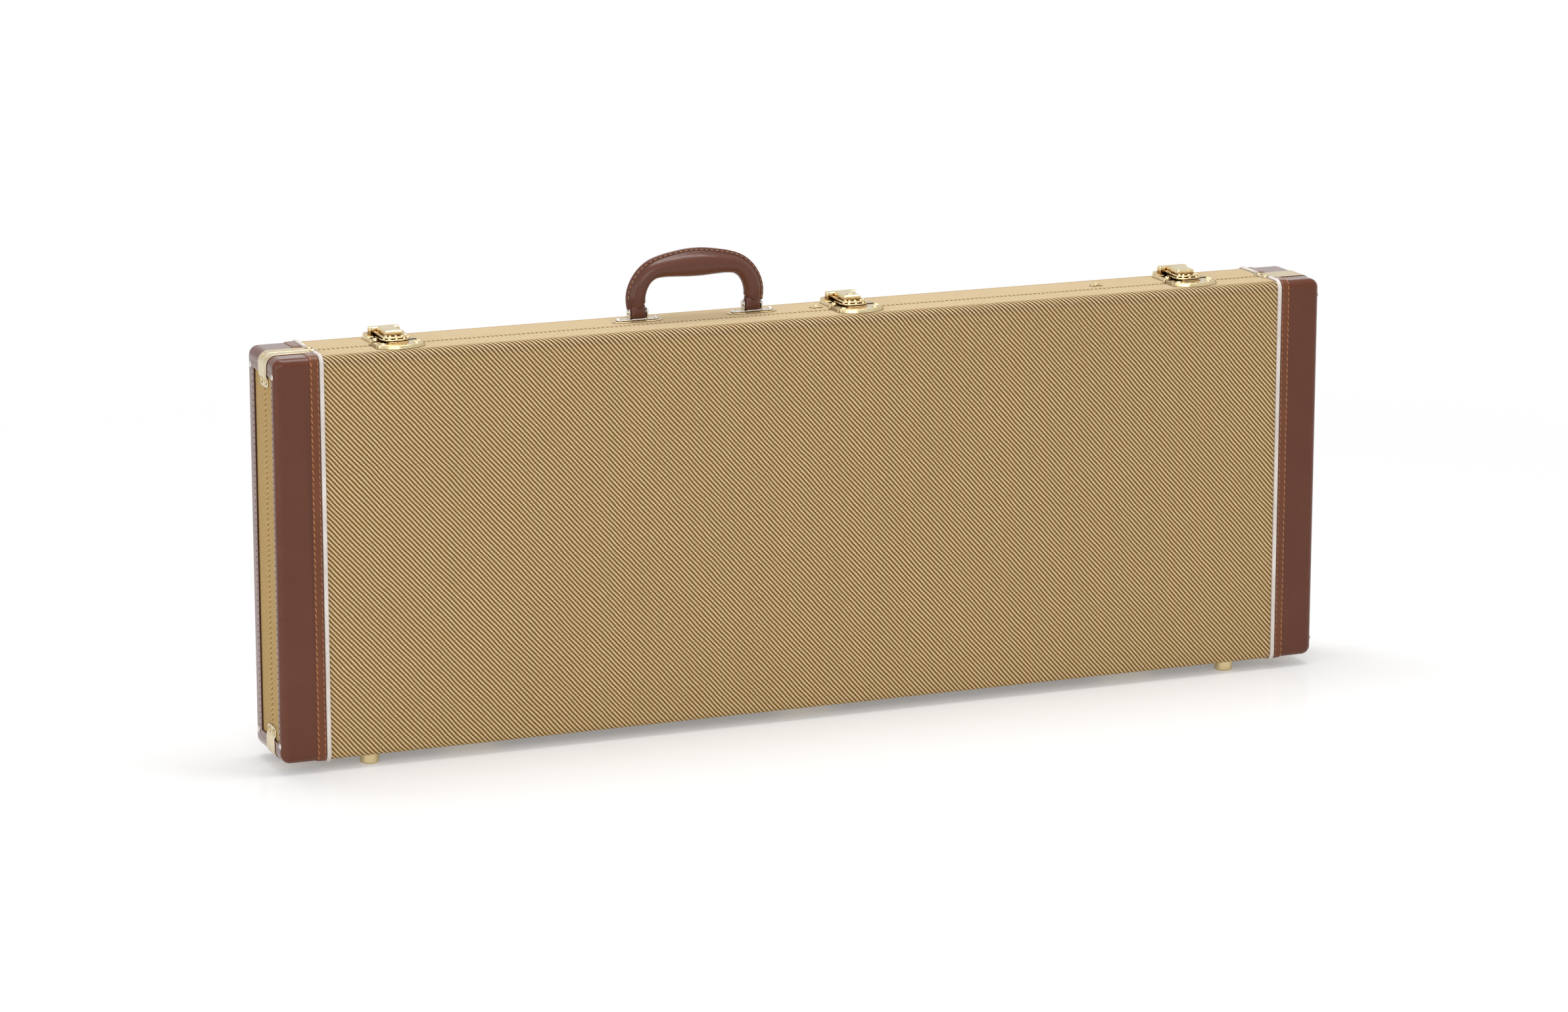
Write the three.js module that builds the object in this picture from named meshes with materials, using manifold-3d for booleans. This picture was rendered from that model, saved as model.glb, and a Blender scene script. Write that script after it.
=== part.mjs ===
// Rectangular electric guitar case, closed, standing on the feet of its long hinge side.
// Millimetres, +Z up, +X along the case. The lid is the front half (-Y) and the base the back half.
// The origin lies on the ground under the middle of the case.
import * as THREE from 'three';
import { mergeVertices } from 'three/addons/utils/BufferGeometryUtils.js';
import Module from 'manifold-3d';

// Case body
const caseLength = 1060;
const caseDepth = 84;
const caseHeight = 378;
const lidDepth = 35;
const wallThickness = 6;
const edgeRadius = 7;
const cornerRadius = 9;
const hollowCornerRadius = 4;
const seamGap = 0.4;

// Clearances shared by all pieces
const seatGap = 0.25;
const headSink = 0.3;
const overrun = 5;

// Leather ends, their binding strips and the piping beside them
const capLength = 42.2;
const leatherThickness = 1.5;
const foldDepth = 14.5;
const foldHeight = 17.5;
const bindingWidth = 8.7;
const bindingThickness = 1.2;
const pipingRadius = 3.1;
const pipingSink = 0.6;

// Brass straps over the seam at the corners
const strapWidth = 25;
const strapThickness = 1.2;
const strapReach = 54;
const strapDrop = 30;
const strapTipCut = 6;
const strapScrewSpacing = 13.4;
const strapScrewInset = 5;
const strapScrewRadius = 2.4;
const strapScrewHeight = 1.3;

// Domed nails in the leather folds of the ends
const nailRadius = 3.5;
const nailHeight = 2;
const nailInset = 7;
const nailRise = 16.5;

// Feet
const footHeight = 10;
const footRadius = 9.7;
const footNeckRadius = 7.2;
const footRim = 2.5;
const footEndInset = 88;
const lidFootInset = 17.5;
const baseFootInset = 25;

// Hinges under the seam
const hingeEndInset = 190;
const hingeLength = 54;
const hingeLeafWidth = 17;
const hingeLeafThickness = 1.3;
const hingeKnuckleRadius = 2.6;
const hingePinRadius = 1.3;
const hingePinClearance = 0.25;
const hingeAxisDrop = 3;
const hingeScrewSpacing = 32;
const hingeScrewRadius = 2.4;
const hingeScrewHeight = 1.1;

// Handle and its two brackets
const handleOffset = -103.8;
const handleSetback = 16;
const handlePivotRise = 9;
const handleWidth = 139;
const handleRise = 57;
const gripThickness = 27.4;
const gripDepth = 22;
const rimThickness = 4.4;
const legInset = 12;
const legWidth = 15.5;
const legEndRadius = 6.1;
const legSideGap = 0.35;
const rimStart = 5.8;
const bracketLength = 42;
const bracketWidth = 8.6;
const bracketThickness = 1.2;
const earRadius = 4.6;
const earThickness = 1.2;
const handlePinRadius = 1.9;
const handlePinClearance = 0.3;
const handlePinHead = 0.8;
const escutcheonLength = 50.5;
const escutcheonWidth = 12;
const escutcheonPoint = 7;
const escutcheonThickness = 1;
const bracketScrewSpacing = 38;
const bracketScrewRadius = 2.6;
const bracketScrewHeight = 1.8;

// Latches: a plate on the lid, a housing on the base and a lever that closes over both
const latchEndInsets = { left: 125.5, right: 128 };
const middleLatchOffset = 50.7;
const latchWidth = 45;
const latchHeight = 3.5;
const latchFlare = 1.2;
const plateSide = 19;
const plateReach = 28;
const catchWidth = 18;
const catchLength = 2.8;
const catchSetback = 1.8;
const catchHeight = 1.8;
const housingReach = 41;
const housingCorner = 8;
const humpHeight = 5.6;
const humpStart = 23;
const humpRidge = 35;
const leverPivotSetback = 31;
const leverPivotRise = 8;
const barrelRadius = 3.6;
const barrelWidth = 18.4;
const barrelGap = 0.45;
const latchEarThickness = 2;
const latchPinRadius = 1.3;
const latchPinClearance = 0.3;
const leverWidth = 24;
const leverThickness = 1.6;
const leverUnderside = 6;
const leverFullLength = 25;
const fingerReach = 8;
const fingerSide = 1;
const lipLength = 1.8;
const lipHeight = 0.4;
const blockWidth = 17;
const blockStart = 1;
const blockEnd = 23;
const blockTop = 12;
const blockBevel = 1.2;
const rivetRadius = 1.3;
const rivetSpacing = 5.3;
const rivetHeight = 0.9;
const rivetSetback = -3.4;
const latchScrewRadius = 2.6;
const latchScrewHeight = 1.5;
const plateScrewSpacing = 32;
const plateScrewSetback = 15.5;
const housingScrewSpacing = 31;
const housingScrewSetback = 10;
const plugRadius = 3.2;
const plugClearance = 0.3;
const plugSetback = 7;
const plugDepth = 3.4;
const plugProud = 0.3;
const keyWidth = 1.1;
const keyLength = 4.2;
const keyDepth = 1.4;

// Two small brass fittings on the top of the base, each left of a latch
const fittingFromLatch = { middle: 31.5, right: 89.4 };
const fittingLength = 13;
const fittingWidth = 6.4;
const fittingThickness = 1;
const fittingRivetRadius = 2.2;
const fittingRivetHeight = 1.7;
const fittingTabWidth = 1.6;
const fittingTabLength = 2.4;

// Padded bed in the base, with the guitar's pocket and the compartment under the neck
const padGap = 0.6;
const bedRecess = 3;
const pocketEnd = 22;
const pocketBodyLength = 412;
const pocketBorder = 17;
const pocketNeckWidth = 74;
const pocketHeadLength = 212;
const pocketHeadWidth = 124;
const pocketHeadRadius = 14;
const compartmentFromBody = 42;
const compartmentFromHead = 18;
const compartmentFromNeck = 28;
const compartmentSill = 14;
const flapThickness = 5;
const flapMargin = 7;
const flapGap = 0.9;
const tabLength = 34;
const tabWidth = 22;
const tabThickness = 1.6;
const neckRestLength = 56;
const neckRestHeight = 17;
const neckRestGroove = 6;
const neckRestFromHead = 26;
const lidPadThickness = 10;
const lidPadMargin = 4;
const lidPadCrown = 2;

// Facets
const cornerSteps = 3;
const edgeSteps = 3;
const pipingSides = 8;
const headSides = 8;
const roundSides = 16;
const gripSides = 12;

// Places that follow from the sizes above
const halfLength = caseLength / 2;
const frontFace = -caseDepth / 2;
const backFace = caseDepth / 2;
const seam = frontFace + lidDepth;
const bottomFace = footHeight;
const topFace = bottomFace + caseHeight;
const middleHeight = (bottomFace + topFace) / 2;
const hingeHeight = bottomFace - hingeAxisDrop;
const pipingPlace = halfLength - capLength - seatGap - pipingRadius;
const strapHalf = strapWidth / 2;
const hingeSide = halfLength - hingeEndInset;
const hingePlaces = { left: -hingeSide, middle: 0, right: hingeSide };
const footSide = halfLength - footEndInset;
const latchPlaces = {
  left: latchEndInsets.left - halfLength,
  middle: middleLatchOffset,
  right: halfLength - latchEndInsets.right,
};
const legSpacing = handleWidth - 2 * legInset;
const handleLine = seam + handleSetback;
const plugHeight = plugDepth - seatGap + plugProud;

const wasm = await Module();
wasm.setup();

const finishes = {
  tweed: { color: 0xd8c294, roughness: 0.9, metalness: 0 },
  leather: { color: 0x69422f, roughness: 0.5, metalness: 0 },
  binding: { color: 0x71462f, roughness: 0.5, metalness: 0 },
  piping: { color: 0xd2c8c0, roughness: 0.55, metalness: 0 },
  strap: { color: 0xdecdaa, roughness: 0.35, metalness: 1 },
  brass: { color: 0xcfa85a, roughness: 0.22, metalness: 1 },
  nickel: { color: 0xc9c6c0, roughness: 0.25, metalness: 1 },
  plush: { color: 0x8a6a34, roughness: 0.95, metalness: 0 },
};

function addPiece(group, name, solid, finish) {
  const piece = new THREE.Mesh(toGeometry(solid), new THREE.MeshStandardMaterial(finishes[finish]));
  piece.name = name;
  group.add(piece);
  return piece;
}

// Welds the corners, drops flat slivers and turns the faces outwards.
function closed(geometry) {
  const bare = new THREE.BufferGeometry();
  bare.setAttribute('position', geometry.getAttribute('position'));
  bare.setIndex(geometry.getIndex());
  const welded = mergeVertices(bare);
  const place = welded.getAttribute('position');
  const index = welded.getIndex().array;
  const corners = [new THREE.Vector3(), new THREE.Vector3(), new THREE.Vector3()];
  const kept = [];
  let volume = 0;
  for (let i = 0; i < index.length; i += corners.length) {
    const [a, b, c] = index.slice(i, i + corners.length);
    if (a === b || b === c || c === a) continue;
    [a, b, c].forEach((vertex, k) => corners[k].fromBufferAttribute(place, vertex));
    volume += corners[0].dot(corners[1].clone().cross(corners[2]));
    kept.push([a, b, c]);
  }
  const turned = volume < 0 ? kept.map(([a, b, c]) => [a, c, b]) : kept;
  welded.setIndex(turned.flat());
  return welded;
}

function toSolid(geometry) {
  const welded = closed(geometry);
  const vertProperties = new Float32Array(welded.getAttribute('position').array);
  const triVerts = new Uint32Array(welded.getIndex().array);
  return new wasm.Manifold(new wasm.Mesh({ numProp: 3, vertProperties, triVerts }));
}

function toGeometry(solid) {
  const mesh = solid.getMesh();
  const geometry = new THREE.BufferGeometry();
  geometry.setAttribute('position', new THREE.BufferAttribute(mesh.vertProperties, 3));
  geometry.setIndex(new THREE.BufferAttribute(mesh.triVerts, 1));
  const flat = geometry.toNonIndexed();
  flat.computeVertexNormals();
  return flat;
}

function boxBetween([x0, x1], [y0, y1], [z0, z1]) {
  const box = new THREE.BoxGeometry(x1 - x0, y1 - y0, z1 - z0);
  return box.translate((x0 + x1) / 2, (y0 + y1) / 2, (z0 + z1) / 2);
}

function solidBox(xs, ys, zs) {
  return toSolid(boxBetween(xs, ys, zs));
}

// A solid with more closed shapes joined to it, such as the heads of its screws.
function joined(solid, shapes) {
  return shapes.reduce((whole, shape) => whole.add(toSolid(shape)), solid);
}

// A shape drawn in (y, z) and drawn out from x0 to x1.
function alongX(shape, x0, x1, curveSegments = roundSides) {
  const solid = new THREE.ExtrudeGeometry(shape, { depth: x1 - x0, bevelEnabled: false, curveSegments });
  const turn = new THREE.Matrix4().makeBasis(
    new THREE.Vector3(0, 1, 0), new THREE.Vector3(0, 0, 1), new THREE.Vector3(1, 0, 0));
  return solid.applyMatrix4(turn).translate(x0, 0, 0);
}

// A shape drawn in (x, z) and drawn out from y0 to y1.
function alongY(shape, y0, y1, curveSegments = roundSides) {
  const solid = new THREE.ExtrudeGeometry(shape, { depth: y1 - y0, bevelEnabled: false, curveSegments });
  const turn = new THREE.Matrix4().makeBasis(
    new THREE.Vector3(1, 0, 0), new THREE.Vector3(0, 0, 1), new THREE.Vector3(0, -1, 0));
  return solid.applyMatrix4(turn).translate(0, y1, 0);
}

// A shape drawn in (x, y) and drawn out from z0 to z1.
function alongZ(shape, z0, z1, curveSegments = roundSides) {
  const solid = new THREE.ExtrudeGeometry(shape, { depth: z1 - z0, bevelEnabled: false, curveSegments });
  return solid.translate(0, 0, z0);
}

// A rod along X from x0 to x1, about the axis through (y, z).
function rodAlongX(radius, x0, x1, y, z, sides = roundSides) {
  const rod = new THREE.CylinderGeometry(radius, radius, x1 - x0, sides);
  return rod.rotateZ(Math.PI / 2).translate((x0 + x1) / 2, y, z);
}

// A body turned about +Z from a profile of (radius, height) points.
function turned(profile, sides) {
  const points = profile.map(([radius, height]) => new THREE.Vector2(radius, height));
  return new THREE.LatheGeometry(points, sides).rotateX(Math.PI / 2);
}

// Joins rings of as many points each, which are convex, into one closed body.
function loft(rings) {
  const count = rings[0].length;
  const faces = [];
  for (let ring = 0; ring + 1 < rings.length; ring += 1) {
    for (let k = 0; k < count; k += 1) {
      const next = (k + 1) % count;
      const low = ring * count;
      const high = low + count;
      faces.push(low + k, low + next, high + next, low + k, high + next, high + k);
    }
  }
  const last = (rings.length - 1) * count;
  for (let k = 1; k + 1 < count; k += 1) {
    faces.push(0, k + 1, k, last, last + k, last + k + 1);
  }
  const geometry = new THREE.BufferGeometry().setFromPoints(rings.flat());
  geometry.setIndex(faces);
  return geometry;
}

function roundedOutline(width, height, radius, steps = cornerSteps) {
  const points = [];
  const quarter = Math.PI / 2;
  const signs = [[1, 1], [-1, 1], [-1, -1], [1, -1]];
  signs.forEach(([sideX, sideY], corner) => {
    const centreX = sideX * (width / 2 - radius);
    const centreY = sideY * (height / 2 - radius);
    for (let step = 0; step <= steps; step += 1) {
      const angle = quarter * (corner + step / steps);
      points.push(new THREE.Vector2(centreX + radius * Math.cos(angle), centreY + radius * Math.sin(angle)));
    }
  });
  return points;
}

function roundedShape(width, height, radius, centreX = 0, centreY = 0) {
  const centre = new THREE.Vector2(centreX, centreY);
  return new THREE.Shape(roundedOutline(width, height, radius).map((point) => point.add(centre)));
}

// The whole case as one rounded block, with every face moved in by the inset.
function caseBlock(inset) {
  const ring = (shrink, y) => {
    const taken = 2 * (inset + shrink);
    const radius = cornerRadius - inset - shrink;
    const outline = roundedOutline(caseLength - taken, caseHeight - taken, radius);
    return outline.map((point) => new THREE.Vector3(point.x, y, middleHeight + point.y));
  };
  const round = edgeRadius - inset;
  const front = frontFace + inset;
  const back = backFace - inset;
  const rings = [];
  for (let step = 0; step <= edgeSteps; step += 1) {
    const angle = (Math.PI / 2) * (step / edgeSteps);
    rings.push(ring(round * (1 - Math.sin(angle)), front + round * (1 - Math.cos(angle))));
  }
  const backRings = rings.map((points) => points.map((point) => {
    const mirrored = point.clone();
    mirrored.y = front + back - point.y;
    return mirrored;
  }));
  return toSolid(loft([...rings, ...backRings.reverse()]));
}

// Spans that reach past the case on both sides, for cutting boxes.
const long = [-halfLength - overrun, halfLength + overrun];
const deep = [frontFace - overrun, backFace + overrun];
const tall = [bottomFace - overrun, topFace + overrun];

// The part of space that each half of the case may fill.
const halves = {
  lid: solidBox(long, [deep[0], seam - seamGap / 2], tall),
  base: solidBox(long, [seam + seamGap / 2, deep[1]], tall),
};
const halfNames = Object.keys(halves);
const endSigns = { left: -1, right: 1 };

// A box from the case's end inwards, between two distances from the end.
function endSlab(sign, nearEnd, farIn, ys, zs) {
  const places = [sign * (halfLength - nearEnd), sign * (halfLength - farIn)];
  return solidBox(places.sort((a, b) => a - b), ys, zs);
}

const fullBlock = caseBlock(0);
const linedBlock = caseBlock(leatherThickness);
const seatBlock = caseBlock(leatherThickness + seatGap);
const raisedBlock = caseBlock(-seatGap);
const bindingBlock = caseBlock(-seatGap - bindingThickness);
const strapBlock = caseBlock(-seatGap - strapThickness);

function capSlab(sign, length) {
  return endSlab(sign, -overrun, length, deep, tall);
}

// The piping's centre line round one half, from the strap at the top to the one at the bottom.
class PipingRoute extends THREE.Curve {
  constructor(side, place) {
    super();
    const face = side < 0 ? frontFace : backFace;
    const line = face - side * pipingSink;
    const radius = edgeRadius - pipingSink;
    const start = seam + side * (strapHalf + seatGap);
    const up = topFace - pipingSink;
    const down = bottomFace + pipingSink;
    const stations = [[start, up]];
    for (const [level, rise] of [[up, 1], [down, -1]]) {
      for (let step = 0; step <= edgeSteps + 1; step += 1) {
        const share = step / (edgeSteps + 1);
        const angle = (Math.PI / 2) * (rise > 0 ? share : 1 - share);
        const y = line - side * radius * (1 - Math.sin(angle));
        const z = level - rise * radius * (1 - Math.cos(angle));
        stations.push([y, z]);
      }
    }
    stations.push([start, down]);
    this.points = stations.map(([y, z]) => new THREE.Vector3(place, y, z));
  }

  stationAt(share) {
    return Math.round(share * (this.points.length - 1));
  }

  getPointAt(share) {
    return this.points[this.stationAt(share)].clone();
  }

  getTangentAt(share) {
    const station = this.stationAt(share);
    const before = this.points[Math.max(station - 1, 0)];
    const after = this.points[Math.min(station + 1, this.points.length - 1)];
    return after.clone().sub(before).normalize();
  }
}

function pipingTube(side, place, radius) {
  const route = new PipingRoute(side, place);
  const section = new THREE.Shape(new THREE.EllipseCurve(0, 0, radius, radius)
    .getPoints(pipingSides).slice(0, pipingSides));
  const options = { steps: route.points.length - 1, bevelEnabled: false, extrudePath: route };
  return toSolid(new THREE.ExtrudeGeometry(section, options));
}

// The plywood shells, covered in tweed: the ends are set in for the leather.
function buildShells() {
  const middle = solidBox([-pipingPlace, pipingPlace], deep, tall);
  const hollowOutline = roundedOutline(caseLength - 2 * wallThickness, caseHeight - 2 * wallThickness,
    hollowCornerRadius).map((point) => new THREE.Vector2(point.x, middleHeight + point.y));
  const hollow = toSolid(alongY(new THREE.Shape(hollowOutline),
    frontFace + wallThickness, backFace - wallThickness));
  const body = fullBlock.intersect(middle).add(seatBlock).subtract(hollow);
  const shells = {};
  for (const half of halfNames) {
    let shell = body.intersect(halves[half]);
    const side = half === 'lid' ? -1 : 1;
    for (const sign of Object.values(endSigns)) {
      shell = shell.subtract(pipingTube(side, sign * pipingPlace, pipingRadius + seatGap));
    }
    shells[half] = shell;
  }
  return shells;
}

function leatherCap(sign, half) {
  const layer = fullBlock.subtract(linedBlock).intersect(capSlab(sign, capLength));
  const window = endSlab(sign, -overrun, capLength + overrun,
    [frontFace + foldDepth, backFace - foldDepth], [bottomFace + foldHeight, topFace - foldHeight]);
  return layer.subtract(window).intersect(halves[half]);
}

// Space kept for the straps on both sides of the seam.
const strapZone = solidBox(long, [seam - strapHalf - seatGap, seam + strapHalf + seatGap], tall);

function bindingStrip(sign, half) {
  const slab = endSlab(sign, capLength - bindingWidth, capLength, deep, tall);
  return bindingBlock.subtract(raisedBlock).intersect(slab).intersect(halves[half]).subtract(strapZone);
}

// One bent strap half. The rise is 1 at the top corner and -1 at the bottom corner.
function strapHalfSolid(sign, half, rise) {
  const side = half === 'lid' ? -1 : 1;
  const inner = seam + side * seamGap / 2;
  const outer = seam + side * strapHalf;
  const level = rise > 0 ? topFace : bottomFace;
  const zs = [level - rise * strapDrop, level + rise * overrun].sort((a, b) => a - b);
  const ys = [inner, outer].sort((a, b) => a - b);
  const strap = strapBlock.subtract(raisedBlock).intersect(endSlab(sign, -overrun, strapReach, ys, zs));
  const cut = strapTipCut * Math.SQRT2;
  const wedge = new THREE.BoxGeometry(cut, cut, cut).rotateZ(Math.PI / 4);
  const topWedge = wedge.clone().translate(sign * (halfLength - strapReach), outer, level);
  const endWedge = wedge.clone().rotateY(Math.PI / 2)
    .translate(sign * halfLength, outer, level - rise * strapDrop);
  return strap.subtract(toSolid(topWedge)).subtract(toSolid(endWedge));
}

// The strap with the domed screws that hold its two tips.
function strapPiece(sign, half, rise) {
  const side = half === 'lid' ? -1 : 1;
  const level = rise > 0 ? topFace : bottomFace;
  const proud = seatGap + strapThickness - headSink;
  const head = domedHead(strapScrewRadius, strapScrewHeight + headSink);
  const y = seam + side * strapScrewSpacing / 2;
  const flatHead = headOn(rise > 0 ? 'top' : 'bottom', head,
    sign * (halfLength - strapReach + strapScrewInset), y, level + rise * proud);
  const endHead = headOn(sign > 0 ? 'right' : 'left', head,
    sign * (halfLength + proud), y, level - rise * (strapDrop - strapScrewInset));
  return joined(strapHalfSolid(sign, half, rise), [flatHead, endHead]);
}

// The domed head of a screw, nail or rivet, with its flat back at z = 0.
function domedHead(radius, height) {
  const rim = height / 3;
  const slope = Math.PI / 4;
  const crown = rim + (height - rim) * Math.sin(slope);
  return turned([[0, 0], [radius, 0], [radius, rim], [radius * Math.cos(slope), crown], [0, height]],
    headSides);
}

// A head set on a face of the case, whose name is that of the side it looks to.
function headOn(face, head, x, y, z) {
  const copy = head.clone();
  if (face === 'bottom') copy.rotateX(Math.PI);
  if (face === 'right') copy.rotateY(Math.PI / 2);
  if (face === 'left') copy.rotateY(-Math.PI / 2);
  return copy.translate(x, y, z);
}

// The leather over one end of one half, with the domed nails in its folds.
function leatherPiece(sign, half) {
  const y = half === 'lid' ? frontFace + nailInset : backFace - nailInset;
  const head = domedHead(nailRadius, nailHeight + headSink);
  const face = sign > 0 ? 'right' : 'left';
  const heads = [bottomFace + nailRise, topFace - nailRise].map(
    (z) => headOn(face, head, sign * (halfLength - headSink), y, z));
  return joined(leatherCap(sign, half), heads);
}

function buildFoot() {
  const height = footHeight - seatGap;
  return toSolid(turned([[0, 0], [footNeckRadius, 0], [footRadius, footRim], [footRadius, height - footRim],
    [footNeckRadius, height], [0, height]], roundSides));
}

// One leaf of a hinge with its knuckles and screws, drawn about the hinge's axis at y = 0, z = 0.
// The base's leaf also holds the pin, and the lid's knuckle turns on it.
function hingeLeaf(half) {
  const isLid = half === 'lid';
  const side = isLid ? -1 : 1;
  const third = hingeLength / 3;
  const start = -hingeLength / 2;
  const top = hingeAxisDrop - seatGap;
  const ys = [side * seamGap / 2, side * hingeLeafWidth].sort((a, b) => a - b);
  let leaf = solidBox([start, -start], ys, [top - hingeLeafThickness, top]);
  const knuckles = [0, 1, 2].map((knuckle) => {
    const own = (knuckle === 1) === isLid;
    const trim = own ? seatGap / 2 : -seatGap / 2;
    const from = start + knuckle * third + (knuckle > 0 ? trim : 0);
    const to = start + (knuckle + 1) * third - (knuckle < 2 ? trim : 0);
    return { own, from, to };
  });
  for (const { from, to } of knuckles.filter(({ own }) => !own)) {
    leaf = leaf.subtract(toSolid(rodAlongX(hingeKnuckleRadius + hingePinClearance, from, to, 0, 0)));
  }
  for (const { from, to } of knuckles.filter(({ own }) => own)) {
    leaf = leaf.add(toSolid(rodAlongX(hingeKnuckleRadius, from, to, 0, 0)));
  }
  if (isLid) {
    leaf = leaf.subtract(toSolid(rodAlongX(hingePinRadius + hingePinClearance, start, -start, 0, 0)));
  } else {
    leaf = leaf.add(toSolid(rodAlongX(hingePinRadius, start, -start, 0, 0, headSides)));
  }
  const head = domedHead(hingeScrewRadius, hingeScrewHeight + headSink);
  const y = side * (hingeLeafWidth + hingeKnuckleRadius) / 2;
  const low = top - hingeLeafThickness + headSink;
  return joined(leaf, [-1, 1].map((end) => headOn('bottom', head, end * hingeScrewSpacing / 2, y, low)));
}

// Half of the handle's route, from the leg's end to the top: place along the case, height over
// the pivot, thickness in the handle's plane and depth across it, as shares of the handle's sizes.
const gripShares = [
  [0.843, 0.285, 0.686, 0.660],
  [0.800, 0.430, 0.679, 0.680],
  [0.712, 0.590, 0.664, 0.700],
  [0.597, 0.690, 0.715, 0.760],
  [0.410, 0.741, 0.869, 0.890],
  [0.187, 0.756, 0.963, 0.980],
];

// A section of the grip: a round pad with the flat stitched rim on its outer side.
function gripSection(centre, outward, thickness, depth, withRim) {
  const half = thickness / 2;
  const points = [];
  for (let k = 0; k < gripSides; k += 1) {
    const angle = (2 * Math.PI * (k + 0.5)) / gripSides;
    let out = half * Math.cos(angle);
    let across = (depth / 2) * Math.sin(angle);
    const onRim = k === 0 || k === gripSides - 1;
    if (withRim && onRim) {
      out = half;
      across = Math.sign(across) * rimThickness / 2;
    }
    const point = centre.clone().addScaledVector(outward, out);
    point.y += across;
    points.push(point);
  }
  return points;
}

// The handle stands in the plane y = 0 about its own pivot axis at z = 0.
function buildHandle() {
  const legX = legSpacing / 2;
  const leg = (height, depthShare, width = legWidth, place = legX, withRim = false) => ({
    centre: new THREE.Vector3(place, 0, height), width, depth: 2 * legEndRadius * depthShare, withRim,
  });
  const rimWidth = handleWidth / 2 - (legX - legWidth / 2);
  const stations = [];
  for (let step = 1; step <= edgeSteps + 1; step += 1) {
    const angle = (Math.PI / 2) * (step / (edgeSteps + 1));
    stations.push(leg(-legEndRadius * Math.cos(angle), Math.sin(angle)));
  }
  stations.push(leg(rimStart, 1));
  stations.push(leg(rimStart, 1, rimWidth, (legX - legWidth / 2 + handleWidth / 2) / 2, true));
  gripShares.forEach(([place, rise, thickness, depth]) => stations.push({
    centre: new THREE.Vector3(place * handleWidth / 2, 0, rise * handleRise),
    width: thickness * gripThickness,
    depth: depth * gripDepth,
    withRim: true,
  }));
  const crown = {
    centre: new THREE.Vector3(0, 0, handleRise - gripThickness / 2),
    width: gripThickness,
    depth: gripDepth,
    withRim: true,
  };
  const mirrored = stations.map((station) => ({
    ...station, centre: station.centre.clone().multiply(new THREE.Vector3(-1, 1, 1)),
  })).reverse();
  const all = [...stations, crown, ...mirrored];
  const rings = all.map((station, index) => {
    const before = all[Math.max(index - 1, 0)].centre;
    const after = all[Math.min(index + 1, all.length - 1)].centre;
    const along = after.clone().sub(before);
    const inLeg = Math.abs(station.centre.z) <= rimStart;
    const outward = inLeg
      ? new THREE.Vector3(Math.sign(station.centre.x), 0, 0)
      : new THREE.Vector3(along.z, 0, -along.x).normalize();
    return gripSection(station.centre, outward, station.width, station.depth, station.withRim);
  });
  const grip = toSolid(loft(rings));
  const bore = rodAlongX(handlePinRadius + handlePinClearance, -handleWidth, handleWidth, 0, 0);
  return grip.subtract(toSolid(bore));
}

// A bracket: a plate screwed down on the escutcheon, and an ear on each side of the leg.
function buildBracket() {
  const plateTop = 2 * seatGap + escutcheonThickness + bracketThickness;
  const plate = alongZ(roundedShape(bracketLength, bracketWidth, bracketWidth / 3),
    plateTop - bracketThickness, plateTop);
  let bracket = toSolid(plate);
  const earShape = new THREE.Shape();
  earShape.moveTo(-earRadius, plateTop - bracketThickness);
  earShape.lineTo(earRadius, plateTop - bracketThickness);
  earShape.absarc(0, handlePivotRise, earRadius, 0, Math.PI);
  for (const side of [-1, 1]) {
    const near = side * (legWidth / 2 + legSideGap);
    const far = near + side * earThickness;
    const [from, to] = [near, far].sort((a, b) => a - b);
    bracket = bracket.add(toSolid(alongX(earShape, from, to, headSides)));
  }
  const reach = legWidth;
  const bore = rodAlongX(handlePinRadius + handlePinClearance, -reach, reach, 0, handlePivotRise);
  const head = domedHead(bracketScrewRadius, bracketScrewHeight + headSink);
  const heads = [-1, 1].map(
    (side) => headOn('top', head, side * bracketScrewSpacing / 2, 0, plateTop - headSink));
  return joined(bracket.subtract(toSolid(bore)), heads);
}

function handlePin() {
  const reach = legWidth / 2 + legSideGap + earThickness + seatGap;
  const headRadius = handlePinRadius + handlePinHead;
  const profile = [[0, -reach - handlePinHead], [headRadius, -reach - handlePinHead], [headRadius, -reach],
    [handlePinRadius, -reach], [handlePinRadius, reach], [headRadius, reach],
    [headRadius, reach + handlePinHead], [0, reach + handlePinHead]];
  return toSolid(turned(profile, headSides).rotateY(Math.PI / 2));
}

function escutcheonPlate() {
  const tip = escutcheonLength / 2;
  const side = escutcheonWidth / 2;
  const shoulder = tip - escutcheonPoint;
  const bend = tip - escutcheonPoint / 2;
  const shape = new THREE.Shape();
  shape.moveTo(tip, 0);
  shape.quadraticCurveTo(bend, side, shoulder, side);
  shape.lineTo(-shoulder, side);
  shape.quadraticCurveTo(-bend, side, -tip, 0);
  shape.quadraticCurveTo(-bend, -side, -shoulder, -side);
  shape.lineTo(shoulder, -side);
  shape.quadraticCurveTo(bend, -side, tip, 0);
  return toSolid(alongZ(shape, seatGap, seatGap + escutcheonThickness, cornerSteps));
}

// The lid plate's outline seen from above: straight at the seam, with a bowed front.
function plateOutline(flare) {
  const half = latchWidth / 2 + flare;
  const near = -seamGap / 2;
  const steps = roundSides / 2;
  const points = [new THREE.Vector2(-half, near), new THREE.Vector2(half, near)];
  for (let step = 0; step <= steps; step += 1) {
    const across = 1 - (2 * step) / steps;
    const bulge = (plateReach - plateSide) * (1 - across * across);
    points.push(new THREE.Vector2(half * across, -plateSide - flare - bulge));
  }
  return points;
}

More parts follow.
